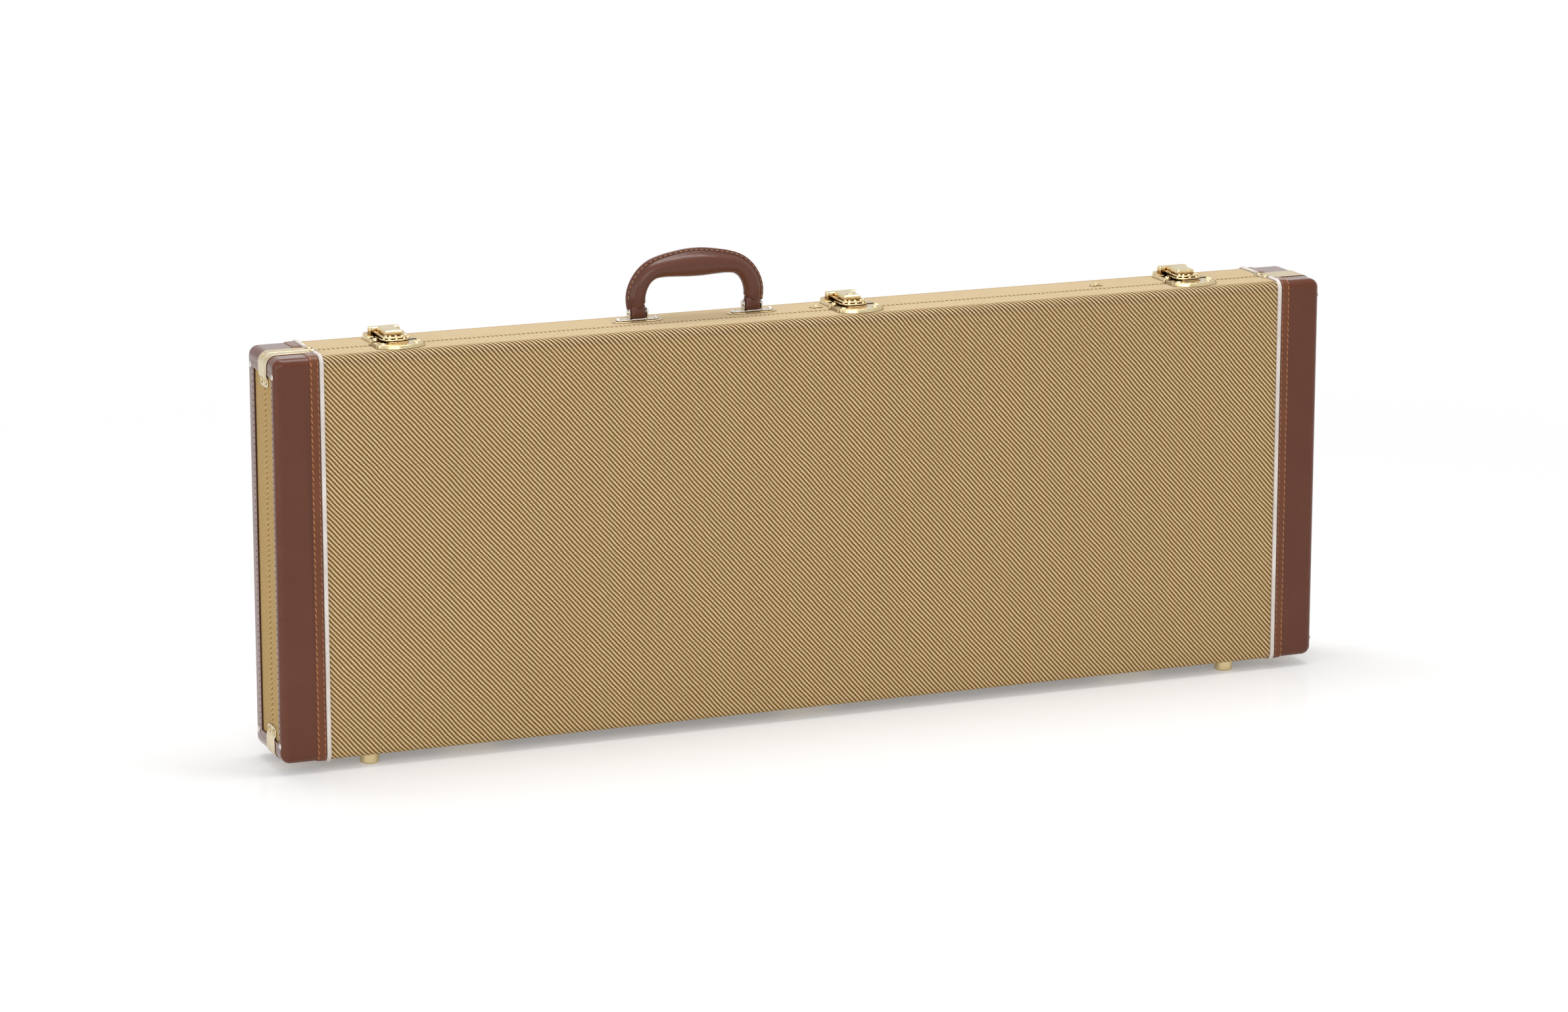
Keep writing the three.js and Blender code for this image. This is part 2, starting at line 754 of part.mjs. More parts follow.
// The base housing's outline: straight at the seam, with rounded corners at the back.
function housingOutline(flare) {
  const half = latchWidth / 2 + flare;
  const far = housingReach + flare;
  const radius = housingCorner;
  const points = [new THREE.Vector2(-half, seamGap / 2), new THREE.Vector2(half, seamGap / 2)];
  for (let step = 0; step <= cornerSteps; step += 1) {
    const angle = (Math.PI / 2) * (step / cornerSteps);
    points.push(new THREE.Vector2(half - radius + radius * Math.cos(angle),
      far - radius + radius * Math.sin(angle)));
  }
  const mirrored = points.slice(2).reverse().map((point) => new THREE.Vector2(-point.x, point.y));
  return [...points, ...mirrored];
}

// A low block whose sides flare out to its foot.
function flaredBlock(outlineAt) {
  const foot = outlineAt(latchFlare).map((point) => new THREE.Vector3(point.x, point.y, seatGap));
  const top = outlineAt(0).map((point) => new THREE.Vector3(point.x, point.y, latchHeight));
  return toSolid(loft([foot, top]));
}

function plateScrews(spacing, y) {
  const head = domedHead(latchScrewRadius, latchScrewHeight + headSink);
  return [-1, 1].map((side) => headOn('top', head, side * spacing / 2, y, latchHeight - headSink));
}

function latchPlate() {
  const plate = flaredBlock(plateOutline);
  const rib = solidBox([-catchWidth / 2, catchWidth / 2], [-catchSetback - catchLength, -catchSetback],
    [latchHeight / 2, latchHeight + catchHeight]);
  return joined(plate.add(rib), plateScrews(plateScrewSpacing, -plateScrewSetback));
}

// The housing: a flat front, a rounded hump at the back, and two ears that hold the lever's pin.
function latchHousing() {
  const plan = toSolid(alongZ(new THREE.Shape(housingOutline(0)), 0, blockTop));
  const hump = new THREE.Shape();
  hump.moveTo(humpStart, latchHeight / 2);
  hump.lineTo(humpStart, latchHeight);
  hump.quadraticCurveTo((humpStart + humpRidge) / 2, humpHeight, humpRidge, humpHeight);
  hump.quadraticCurveTo(housingReach, humpHeight, housingReach, latchHeight / 2);
  const half = latchWidth / 2;
  let housing = flaredBlock(housingOutline);
  housing = housing.add(toSolid(alongX(hump, -half, half, edgeSteps)).intersect(plan));
  const barrelHalf = barrelWidth / 2 + barrelGap;
  const trough = rodAlongX(barrelRadius + barrelGap, -barrelHalf, barrelHalf,
    leverPivotSetback, leverPivotRise);
  housing = housing.subtract(toSolid(trough));
  const ear = new THREE.Shape();
  ear.moveTo(leverPivotSetback - barrelRadius, latchHeight / 2);
  ear.lineTo(leverPivotSetback + barrelRadius, latchHeight / 2);
  ear.absarc(leverPivotSetback, leverPivotRise, barrelRadius, 0, Math.PI);
  for (const side of [-1, 1]) {
    const [from, to] = [side * barrelHalf, side * (barrelHalf + latchEarThickness)].sort((a, b) => a - b);
    housing = housing.add(toSolid(alongX(ear, from, to, headSides)));
  }
  const reach = barrelHalf + latchEarThickness / 2;
  const pin = rodAlongX(latchPinRadius, -reach, reach, leverPivotSetback, leverPivotRise, headSides);
  return joined(housing, [pin, ...plateScrews(housingScrewSpacing, housingScrewSetback)]);
}

// The lever: a plate with a round finger end, a barrel on the pin, a lip over the catch and two rivets.
function latchLever() {
  const half = leverWidth / 2;
  const shape = new THREE.Shape();
  shape.moveTo(-half, leverFullLength);
  shape.lineTo(-half, fingerSide);
  shape.quadraticCurveTo(-half, -fingerReach, 0, -fingerReach);
  shape.quadraticCurveTo(half, -fingerReach, half, fingerSide);
  shape.lineTo(half, leverFullLength);
  const top = leverUnderside + leverThickness;
  const barrelHalf = barrelWidth / 2;
  let lever = toSolid(alongZ(shape, leverUnderside, top, edgeSteps + 1));
  lever = lever.add(solidBox([-barrelHalf, barrelHalf],
    [leverFullLength - overrun, leverPivotSetback], [leverUnderside, top]));
  lever = lever.add(toSolid(rodAlongX(barrelRadius, -barrelHalf, barrelHalf,
    leverPivotSetback, leverPivotRise)));
  lever = lever.add(solidBox([-catchWidth / 2, catchWidth / 2],
    [-catchSetback - catchLength - lipLength, -catchSetback - catchLength],
    [leverUnderside - lipHeight, leverUnderside + lipHeight]));
  lever = lever.subtract(toSolid(rodAlongX(latchPinRadius + latchPinClearance, -half, half,
    leverPivotSetback, leverPivotRise)));
  const head = domedHead(rivetRadius, rivetHeight + headSink);
  return joined(lever, [-1, 1].map(
    (side) => headOn('top', head, side * rivetSpacing / 2, rivetSetback, top - headSink)));
}

// The raised block on the lever. The middle one is bored for the lock.
function latchBlock(withLock) {
  const bottom = leverUnderside + leverThickness + seatGap;
  const centre = (blockStart + blockEnd) / 2;
  const length = blockEnd - blockStart;
  const ring = (inset, z) => [[-1, -1], [1, -1], [1, 1], [-1, 1]].map(([a, b]) => new THREE.Vector3(
    a * (blockWidth / 2 - inset), centre + b * (length / 2 - inset), z));
  let block = toSolid(loft([ring(0, bottom), ring(0, blockTop - blockBevel), ring(blockBevel, blockTop)]));
  if (withLock) {
    const bore = new THREE.CylinderGeometry(plugRadius + plugClearance, plugRadius + plugClearance,
      2 * plugDepth, roundSides);
    block = block.subtract(toSolid(bore.rotateX(Math.PI / 2).translate(0, plugSetback, blockTop)));
  }
  return block;
}

function lockPlug() {
  const plug = new THREE.CylinderGeometry(plugRadius, plugRadius, plugHeight, roundSides);
  const slot = solidBox([-keyWidth / 2, keyWidth / 2], [-keyLength / 2, keyLength / 2],
    [plugHeight / 2 - keyDepth, plugHeight / 2 + keyDepth]);
  return toSolid(plug.rotateX(Math.PI / 2)).subtract(slot);
}

// A small oval plate with a domed rivet and two tabs towards the seam.
function topFitting() {
  const plate = alongZ(roundedShape(fittingLength, fittingWidth, fittingWidth / 2 - seatGap),
    seatGap, seatGap + fittingThickness);
  const rivet = headOn('top', domedHead(fittingRivetRadius, fittingRivetHeight + fittingThickness), 0, 0,
    seatGap);
  let fitting = toSolid(plate).add(toSolid(rivet));
  for (const side of [-1, 1]) {
    const centre = side * fittingLength / 4;
    fitting = fitting.add(solidBox([centre - fittingTabWidth / 2, centre + fittingTabWidth / 2],
      [-fittingWidth / 2 - fittingTabLength, -fittingWidth / 4], [seatGap, seatGap + fittingThickness]));
  }
  return fitting;
}

// The guitar's outline in the bed: half of the body's widths along its length, as shares.
const bodyHalfShares = [
  [0, 0.18], [0.03, 0.62], [0.12, 0.9], [0.26, 1], [0.4, 0.9], [0.54, 0.74],
  [0.68, 0.74], [0.82, 0.84], [0.93, 0.78], [0.985, 0.5], [1, 0.24],
];

const pocketStart = -halfLength + wallThickness + pocketEnd;
const pocketBodyEnd = pocketStart + pocketBodyLength;
const pocketBodyWidth = caseHeight - 2 * (wallThickness + pocketBorder);
const pocketFinish = halfLength - wallThickness - pocketEnd;
const pocketHeadStart = pocketFinish - pocketHeadLength;

function pocketShape() {
  const upper = bodyHalfShares.map(([along, across]) => new THREE.Vector2(
    pocketStart + along * pocketBodyLength, across * pocketBodyWidth / 2));
  const neck = pocketNeckWidth / 2;
  const head = pocketHeadWidth / 2;
  upper.push(new THREE.Vector2(pocketBodyEnd, neck));
  upper.push(new THREE.Vector2(pocketHeadStart, neck));
  upper.push(new THREE.Vector2(pocketHeadStart + pocketHeadRadius, head));
  upper.push(new THREE.Vector2(pocketFinish - pocketHeadRadius, head));
  upper.push(new THREE.Vector2(pocketFinish, head - pocketHeadRadius));
  const lower = upper.map((point) => new THREE.Vector2(point.x, -point.y)).reverse();
  const outline = [...upper, ...lower].map((point) => point.add(new THREE.Vector2(0, middleHeight)));
  return new THREE.Shape(outline);
}

const bedFront = seam + bedRecess;
const bedBack = backFace - wallThickness - seatGap;
const compartmentLeft = pocketBodyEnd + compartmentFromBody;
const compartmentRight = pocketHeadStart - compartmentFromHead;
const compartmentOffset = (compartmentLeft + compartmentRight) / 2;
const compartmentBottom = bottomFace + wallThickness + compartmentSill;
const compartmentTop = middleHeight - pocketNeckWidth / 2 - compartmentFromNeck;
const flapLeft = compartmentLeft - flapMargin;
const flapRight = compartmentRight + flapMargin;
const flapBottom = compartmentBottom - flapMargin;
const flapTop = compartmentTop + flapMargin;
const flapPivot = [bedFront + flapThickness / 2, flapBottom + flapThickness / 2];

function buildBed() {
  const outline = roundedShape(caseLength - 2 * (wallThickness + padGap),
    caseHeight - 2 * (wallThickness + padGap), hollowCornerRadius, 0, middleHeight);
  const compartment = roundedShape(compartmentRight - compartmentLeft, compartmentTop - compartmentBottom,
    hollowCornerRadius, compartmentOffset, (compartmentBottom + compartmentTop) / 2);
  const rebate = solidBox([flapLeft - flapGap, flapRight + flapGap],
    [bedFront - overrun, bedFront + flapThickness + flapGap], [flapBottom - flapGap, flapTop + flapGap]);
  let bed = toSolid(alongY(outline, bedFront, bedBack));
  for (const shape of [pocketShape(), compartment]) {
    bed = bed.subtract(toSolid(alongY(shape, bedFront - overrun, bedBack + overrun)));
  }
  return bed.subtract(rebate);
}

function buildFlap() {
  const half = flapThickness / 2;
  const shape = new THREE.Shape();
  shape.moveTo(flapPivot[0] + half, flapPivot[1]);
  shape.lineTo(flapPivot[0] + half, flapTop);
  shape.lineTo(flapPivot[0] - half, flapTop);
  shape.lineTo(flapPivot[0] - half, flapPivot[1]);
  shape.absarc(flapPivot[0], flapPivot[1], half, Math.PI, 2 * Math.PI);
  return toSolid(alongX(shape, flapLeft, flapRight, headSides));
}

function buildFlapTab() {
  const shape = roundedShape(tabWidth, tabLength, tabWidth / 3, compartmentOffset, flapTop);
  return toSolid(alongY(shape, bedFront - seatGap - tabThickness, bedFront - seatGap));
}

// A padded saddle across the neck's channel.
function buildNeckRest() {
  const half = pocketNeckWidth / 2 - padGap;
  const front = bedBack - neckRestHeight;
  const shape = new THREE.Shape();
  shape.moveTo(bedBack, middleHeight - half);
  shape.lineTo(bedBack, middleHeight + half);
  shape.lineTo(front, middleHeight + half);
  shape.quadraticCurveTo(front + 2 * neckRestGroove, middleHeight, front, middleHeight - half);
  const end = pocketHeadStart - neckRestFromHead;
  return toSolid(alongX(shape, end - neckRestLength, end, edgeSteps + 1));
}

// The pad that lines the lid, a little crowned towards the guitar.
function buildLidPad() {
  const back = frontFace + wallThickness + seatGap;
  const ring = (inset, y) => roundedOutline(
    caseLength - 2 * (wallThickness + lidPadMargin + inset),
    caseHeight - 2 * (wallThickness + lidPadMargin + inset),
    hollowCornerRadius + inset).map((point) => new THREE.Vector3(point.x, y, middleHeight + point.y));
  return toSolid(loft([ring(0, back), ring(0, back + lidPadThickness - lidPadCrown),
    ring(lidPadCrown, back + lidPadThickness)]));
}

const caseGroup = new THREE.Group();

function addShells() {
  const shells = buildShells();
  for (const half of halfNames) {
    addPiece(caseGroup, `${half}_shell`, shells[half], 'tweed');
  }
}

function addLeatherEnds() {
  for (const half of halfNames) {
    const side = half === 'lid' ? -1 : 1;
    for (const [end, sign] of Object.entries(endSigns)) {
      addPiece(caseGroup, `${half}_leather_${end}`, leatherPiece(sign, half), 'leather');
      addPiece(caseGroup, `${half}_binding_${end}`, bindingStrip(sign, half), 'binding');
      const piping = pipingTube(side, sign * pipingPlace, pipingRadius);
      addPiece(caseGroup, `${half}_piping_${end}`, piping, 'piping');
      for (const [level, rise] of [['top', 1], ['bottom', -1]]) {
        addPiece(caseGroup, `${half}_strap_${level}_${end}`, strapPiece(sign, half, rise), 'strap');
      }
    }
  }
}

function addFeet() {
  for (const half of halfNames) {
    const y = half === 'lid' ? frontFace + lidFootInset : backFace - baseFootInset;
    for (const [end, sign] of Object.entries(endSigns)) {
      const foot = addPiece(caseGroup, `${half}_foot_${end}`, buildFoot(), 'brass');
      foot.position.set(sign * footSide, y, 0);
    }
  }
}

function addHinges() {
  for (const [name, place] of Object.entries(hingePlaces)) {
    const axis = new THREE.Group();
    axis.position.set(place, seam, hingeHeight);
    for (const half of halfNames) {
      addPiece(axis, `${half}_hinge_leaf_${name}`, hingeLeaf(half), 'brass');
    }
    caseGroup.add(axis);
  }
}

function addHandle() {
  const stand = new THREE.Group();
  stand.position.set(handleOffset, handleLine, topFace);
  const handle = addPiece(stand, 'handle', buildHandle(), 'leather');
  handle.position.z = handlePivotRise;
  for (const [end, sign] of Object.entries(endSigns)) {
    const place = sign * legSpacing / 2;
    const bracket = addPiece(stand, `handle_bracket_${end}`, buildBracket(), 'nickel');
    bracket.position.x = place;
    const pin = addPiece(stand, `handle_pin_${end}`, handlePin(), 'nickel');
    pin.position.set(place, 0, handlePivotRise);
    const plate = addPiece(stand, `handle_escutcheon_${end}`, escutcheonPlate(), 'brass');
    plate.position.x = place;
  }
  caseGroup.add(stand);
}

function addLatches() {
  for (const [name, offset] of Object.entries(latchPlaces)) {
    const latch = new THREE.Group();
    latch.position.set(offset, seam, topFace);
    const withLock = name === 'middle';
    addPiece(latch, `latch_plate_${name}`, latchPlate(), 'brass');
    addPiece(latch, `latch_housing_${name}`, latchHousing(), 'brass');
    addPiece(latch, `latch_lever_${name}`, latchLever(), 'brass');
    addPiece(latch, `latch_block_${name}`, latchBlock(withLock), 'brass');
    if (withLock) {
      const plug = addPiece(latch, 'lock_plug', lockPlug(), 'brass');
      plug.position.set(0, plugSetback, blockTop + plugProud - plugHeight / 2);
    }
    caseGroup.add(latch);
  }
}

function addTopFittings() {
  for (const [latch, gap] of Object.entries(fittingFromLatch)) {
    const fitting = addPiece(caseGroup, `top_fitting_${latch}`, topFitting(), 'brass');
    fitting.position.set(latchPlaces[latch] - gap, handleLine, topFace);
  }
}

function addInterior() {
  addPiece(caseGroup, 'guitar_bed', buildBed(), 'plush');
  addPiece(caseGroup, 'neck_rest', buildNeckRest(), 'plush');
  addPiece(caseGroup, 'compartment_flap', buildFlap(), 'plush');
  addPiece(caseGroup, 'compartment_tab', buildFlapTab(), 'leather');
  addPiece(caseGroup, 'lid_pad', buildLidPad(), 'plush');
}

addShells();
addLeatherEnds();
addFeet();
addHinges();
addHandle();
addLatches();
addTopFittings();
addInterior();

export default caseGroup;
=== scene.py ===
import math

import bmesh
import bpy
import numpy as np
from mathutils import Matrix, Vector


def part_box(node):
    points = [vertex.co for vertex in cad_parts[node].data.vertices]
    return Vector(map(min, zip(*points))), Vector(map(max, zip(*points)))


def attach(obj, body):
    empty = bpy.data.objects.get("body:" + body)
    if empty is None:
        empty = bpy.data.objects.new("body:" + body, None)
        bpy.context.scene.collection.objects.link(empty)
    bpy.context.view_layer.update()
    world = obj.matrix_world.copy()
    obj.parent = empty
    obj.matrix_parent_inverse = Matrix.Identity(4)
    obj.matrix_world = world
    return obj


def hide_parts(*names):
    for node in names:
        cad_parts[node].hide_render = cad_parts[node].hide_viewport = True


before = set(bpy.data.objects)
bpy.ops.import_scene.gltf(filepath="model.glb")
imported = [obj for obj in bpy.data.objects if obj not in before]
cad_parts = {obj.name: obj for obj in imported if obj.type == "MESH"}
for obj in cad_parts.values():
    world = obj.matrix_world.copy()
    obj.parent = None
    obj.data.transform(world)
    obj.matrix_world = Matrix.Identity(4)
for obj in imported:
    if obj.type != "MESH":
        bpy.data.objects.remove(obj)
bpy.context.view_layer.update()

scene = bpy.context.scene

# Sizes are in millimetres here, and meshes are made in metres.
MM = 0.001
HALF_LENGTH = 530
FRONT = -42
BACK = 42
SEAM = -7
SEAM_GAP = 0.2
BOTTOM = 10
TOP = 388
MIDDLE = (BOTTOM + TOP) / 2
HALF_HEIGHT = (TOP - BOTTOM) / 2
WALL = 6
EDGE_RADIUS = 7
CORNER_RADIUS = 9
CAP_LENGTH = 42.2
# The cloth's length from the ground up the front to where the flat top begins.
TOP_RUN = TOP - EDGE_RADIUS + EDGE_RADIUS * math.pi / 2
SEAT = 1.75
FOLD_DEPTHS = {-1: 10.5, 1: 20.5}
FOLD_HEIGHT = 18.5
PIPING_PLACE = 484.45
STRAP_HALF = 12.5
STRAP_ZONE = 12.75
SIDES = {"lid": -1, "base": 1}
ENDS = {"left": -1, "right": 1}
LATCHES = {"left": -404.5, "middle": 50.7, "right": 402}
HANDLE_PLACE = -103.8
HANDLE_LINE = 9
PIVOT_RISE = 9



def grid_faces(rows, columns, wrap_columns=False):
    faces = []
    last = columns if wrap_columns else columns - 1
    for row in range(rows - 1):
        for column in range(last):
            near = (column + 1) % columns
            faces.append((row * columns + column, row * columns + near,
                          (row + 1) * columns + near, (row + 1) * columns + column))
    return faces


def loft(rings, wrap=True, ends=True):
    """Joins rings of as many points each."""
    count = len(rings[0])
    points = np.array(rings, float).reshape(-1, 3)
    faces = grid_faces(len(rings), count, wrap)
    if ends:
        faces.append(tuple(reversed(range(count))))
        start = (len(rings) - 1) * count
        faces.append(tuple(range(start, start + count)))
    return points, faces


def join(shapes):
    points, faces, start = [], [], 0
    for shape_points, shape_faces in shapes:
        points.append(np.asarray(shape_points, float))
        faces += [tuple(start + k for k in face) for face in shape_faces]
        start += len(shape_points)
    return np.concatenate(points), faces


def placed(shape, origin=(0, 0, 0), up=(0, 0, 1), spin=0, flip_x=False):
    """Turns a shape drawn about +Z so that +Z looks along up, and moves it to origin."""
    points = np.array(shape[0], float)
    faces = shape[1]
    if flip_x:
        points[:, 0] *= -1
        faces = [tuple(reversed(face)) for face in faces]
    turn = Vector((0, 0, 1)).rotation_difference(Vector(up)).to_matrix()
    turn = turn @ Matrix.Rotation(spin, 3, "Z")
    return points @ np.array(turn).T + np.array(origin, float), faces


def lathe(profile, sides=32):
    rings = []
    for radius, height in profile:
        angles = np.linspace(0, 2 * math.pi, sides, endpoint=False)
        rings.append(np.stack([radius * np.cos(angles), radius * np.sin(angles),
                               np.full(sides, height)], 1))
    return loft(rings)


def prism(outline, low, high):
    """An outline in (x, y) drawn out from low to high along z."""
    outline = np.asarray(outline, float)
    rings = [np.column_stack([outline, np.full(len(outline), level)]) for level in (low, high)]
    return loft(rings)


def stacked(outline_at, levels):
    """Rings of an outline that changes with height: levels holds (inset, z)."""
    rings = []
    for inset, level in levels:
        outline = np.asarray(outline_at(inset), float)
        rings.append(np.column_stack([outline, np.full(len(outline), level)]))
    return loft(rings)


def arc(centre, radius, start, end, steps):
    angles = np.radians(np.linspace(start, end, steps + 1))
    return [(centre[0] + radius * math.cos(a), centre[1] + radius * math.sin(a)) for a in angles]


def rounded_rectangle(width, height, radius, steps=6):
    points = []
    for (sx, sy), start in zip(((1, 1), (-1, 1), (-1, -1), (1, -1)), (0, 90, 180, 270)):
        centre = (sx * (width / 2 - radius), sy * (height / 2 - radius))
        points += arc(centre, radius, start, start + 90, steps)
    return points


def along_x(shape):
    """Turns a shape drawn with its axis along z so that the axis lies along x."""
    points = np.asarray(shape[0], float)
    return points[:, [2, 0, 1]], shape[1]


def head(radius, height, slot=None, sides=40, rings=10):
    """A domed head. The slot is cross or none."""
    rows = []
    angles = np.linspace(0, 2 * math.pi, sides, endpoint=False)
    dome = (radius ** 2 + height ** 2) / (2 * height)
    for k in range(rings + 1):
        r = radius * (1 - k / rings) if k < rings else radius * 0.02
        z = math.sqrt(max(dome ** 2 - r ** 2, 0)) - (dome - height)
        row = np.stack([r * np.cos(angles), r * np.sin(angles), np.full(sides, z)], 1)
        if slot == "cross" and r < 0.68 * radius:
            near = np.minimum(abs(row[:, 0]), abs(row[:, 1])) < 0.17 * radius
            row[near, 2] -= 0.28 * radius
        rows.append(row)
    foot = rows[0].copy()
    foot[:, 2] = -0.4
    return loft([foot] + rows)



def add_object(name, shape, material, body, replaces=(), crisp=0, thick=0,
               smooth=True, subdivide=0):
    """Makes a piece that rides on a body. Crisp is the width of its edges' rounding."""
    points, faces = shape
    mesh = bpy.data.meshes.new(name)
    mesh.from_pydata((np.asarray(points, float) * MM).tolist(), [], [list(f) for f in faces])
    mesh.validate()
    tidy = bmesh.new()
    tidy.from_mesh(mesh)
    bmesh.ops.remove_doubles(tidy, verts=tidy.verts, dist=1e-6)
    bmesh.ops.recalc_face_normals(tidy, faces=tidy.faces)
    tidy.to_mesh(mesh)
    tidy.free()
    if smooth:
        mesh.shade_smooth()
    piece = bpy.data.objects.new(name, mesh)
    scene.collection.objects.link(piece)
    mesh.materials.append(material)
    if thick:
        solid = piece.modifiers.new("Thickness", "SOLIDIFY")
        solid.thickness = thick * MM
        solid.offset = -1
    if crisp:
        edge = piece.modifiers.new("Edges", "BEVEL")
        edge.width = crisp * MM
        edge.segments = 3
        edge.limit_method = "ANGLE"
        edge.angle_limit = math.radians(35)
        edge.harden_normals = False
    if subdivide:
        rounder = piece.modifiers.new("Round", "SUBSURF")
        rounder.levels = subdivide
        rounder.render_levels = subdivide
    if smooth and not subdivide:
        weight = piece.modifiers.new("Normals", "WEIGHTED_NORMAL")
        weight.keep_sharp = True
        weight.weight = 60
    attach(piece, body)
    if replaces:
        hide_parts(*replaces)
    return piece


def write_uv(piece, coordinates):
    """The weave's place of every corner, from a function of its point and its face's normal."""
    mesh = piece.data
    layer = mesh.uv_layers.new(name="weave")
    points = np.array([v.co for v in mesh.vertices]) / MM
    values = np.zeros((len(mesh.loops), 2))
    for face in mesh.polygons:
        for loop in face.loop_indices:
            values[loop] = coordinates(points[mesh.loops[loop].vertex_index], face.normal)
    layer.data.foreach_set("uv", values.astype(np.float32).ravel())


def write_attribute(piece, name, value_at):
    """A number per point, for wear and for painted shade and light in the materials."""
    mesh = piece.data
    layer = mesh.attributes.new(name, "FLOAT", "POINT")
    values = [value_at(v.co / MM) for v in mesh.vertices]
    layer.data.foreach_set("value", np.array(values, np.float32))


def tint(red, green, blue):
    """A display colour as the linear values that shaders take."""
    def linear(value):
        share = value / 255
        return share / 12.92 if share <= 0.04045 else ((share + 0.055) / 1.055) ** 2.4
    return (linear(red), linear(green), linear(blue), 1)


class Graph:
    """A material whose nodes are made with short calls. A value is a number, a colour or a node's output."""

    def __init__(self, name):
        self.material = bpy.data.materials.new(name)
        self.material.use_nodes = True
        self.tree = self.material.node_tree
        self.tree.nodes.clear()
        self.output = self.add("ShaderNodeOutputMaterial")
        self.shader = self.add("ShaderNodeBsdfPrincipled")
        self.feed(self.output.inputs["Surface"], self.shader.outputs[0])

    def add(self, kind, **settings):
        node = self.tree.nodes.new(kind)
        for key, value in settings.items():
            setattr(node, key, value)
        return node

    def feed(self, socket, value):
        if isinstance(value, bpy.types.NodeSocket):
            self.tree.links.new(value, socket)
        else:
            socket.default_value = value

    def set(self, **values):
        for key, value in values.items():
            self.feed(self.shader.inputs[key.replace("_", " ")], value)

    def math(self, operation, *values):
        node = self.add("ShaderNodeMath", operation=operation)
        for socket, value in zip(node.inputs, values):
            self.feed(socket, value)
        return node.outputs[0]

    def place(self):
        return self.add("ShaderNodeTexCoord").outputs["Object"]

    def stretched(self, scale):
        node = self.add("ShaderNodeMapping")
        self.feed(node.inputs["Vector"], self.place())
        node.inputs["Scale"].default_value = scale
        return node.outputs[0]

    def noise(self, vector, scale, detail=2, roughness=0.5):
        node = self.add("ShaderNodeTexNoise")
        for key, value in (("Vector", vector), ("Scale", scale), ("Detail", detail),
                           ("Roughness", roughness)):
            self.feed(node.inputs[key], value)
        return node.outputs[0]

    def cells(self, vector, scale, feature="SMOOTH_F1"):
        node = self.add("ShaderNodeTexVoronoi", feature=feature)
        self.feed(node.inputs["Vector"], vector)
        self.feed(node.inputs["Scale"], scale)
        return node.outputs["Distance"]

    def random(self, value):
        node = self.add("ShaderNodeTexWhiteNoise", noise_dimensions="1D")
        self.feed(node.inputs["W"], value)
        return node.outputs["Value"]

    def attribute(self, name):
        return self.add("ShaderNodeAttribute", attribute_name=name).outputs["Fac"]

    def level(self, value, low, high, to_low=0.0, to_high=1.0):
        node = self.add("ShaderNodeMapRange")
        for socket, number in zip(node.inputs, (value, low, high, to_low, to_high)):
            self.feed(socket, number)
        return node.outputs[0]

    def mix(self, factor, first, second, blend="MIX"):
        node = self.add("ShaderNodeMix", data_type="RGBA", blend_type=blend)
        for index, value in ((0, factor), (6, first), (7, second)):
            self.feed(node.inputs[index], value)
        return node.outputs[2]

    def bump(self, height, distance, normal=None):
        node = self.add("ShaderNodeBump")
        self.feed(node.inputs["Distance"], distance)
        self.feed(node.inputs["Height"], height)
        if normal is not None:
            self.feed(node.inputs["Normal"], normal)
        return node.outputs[0]


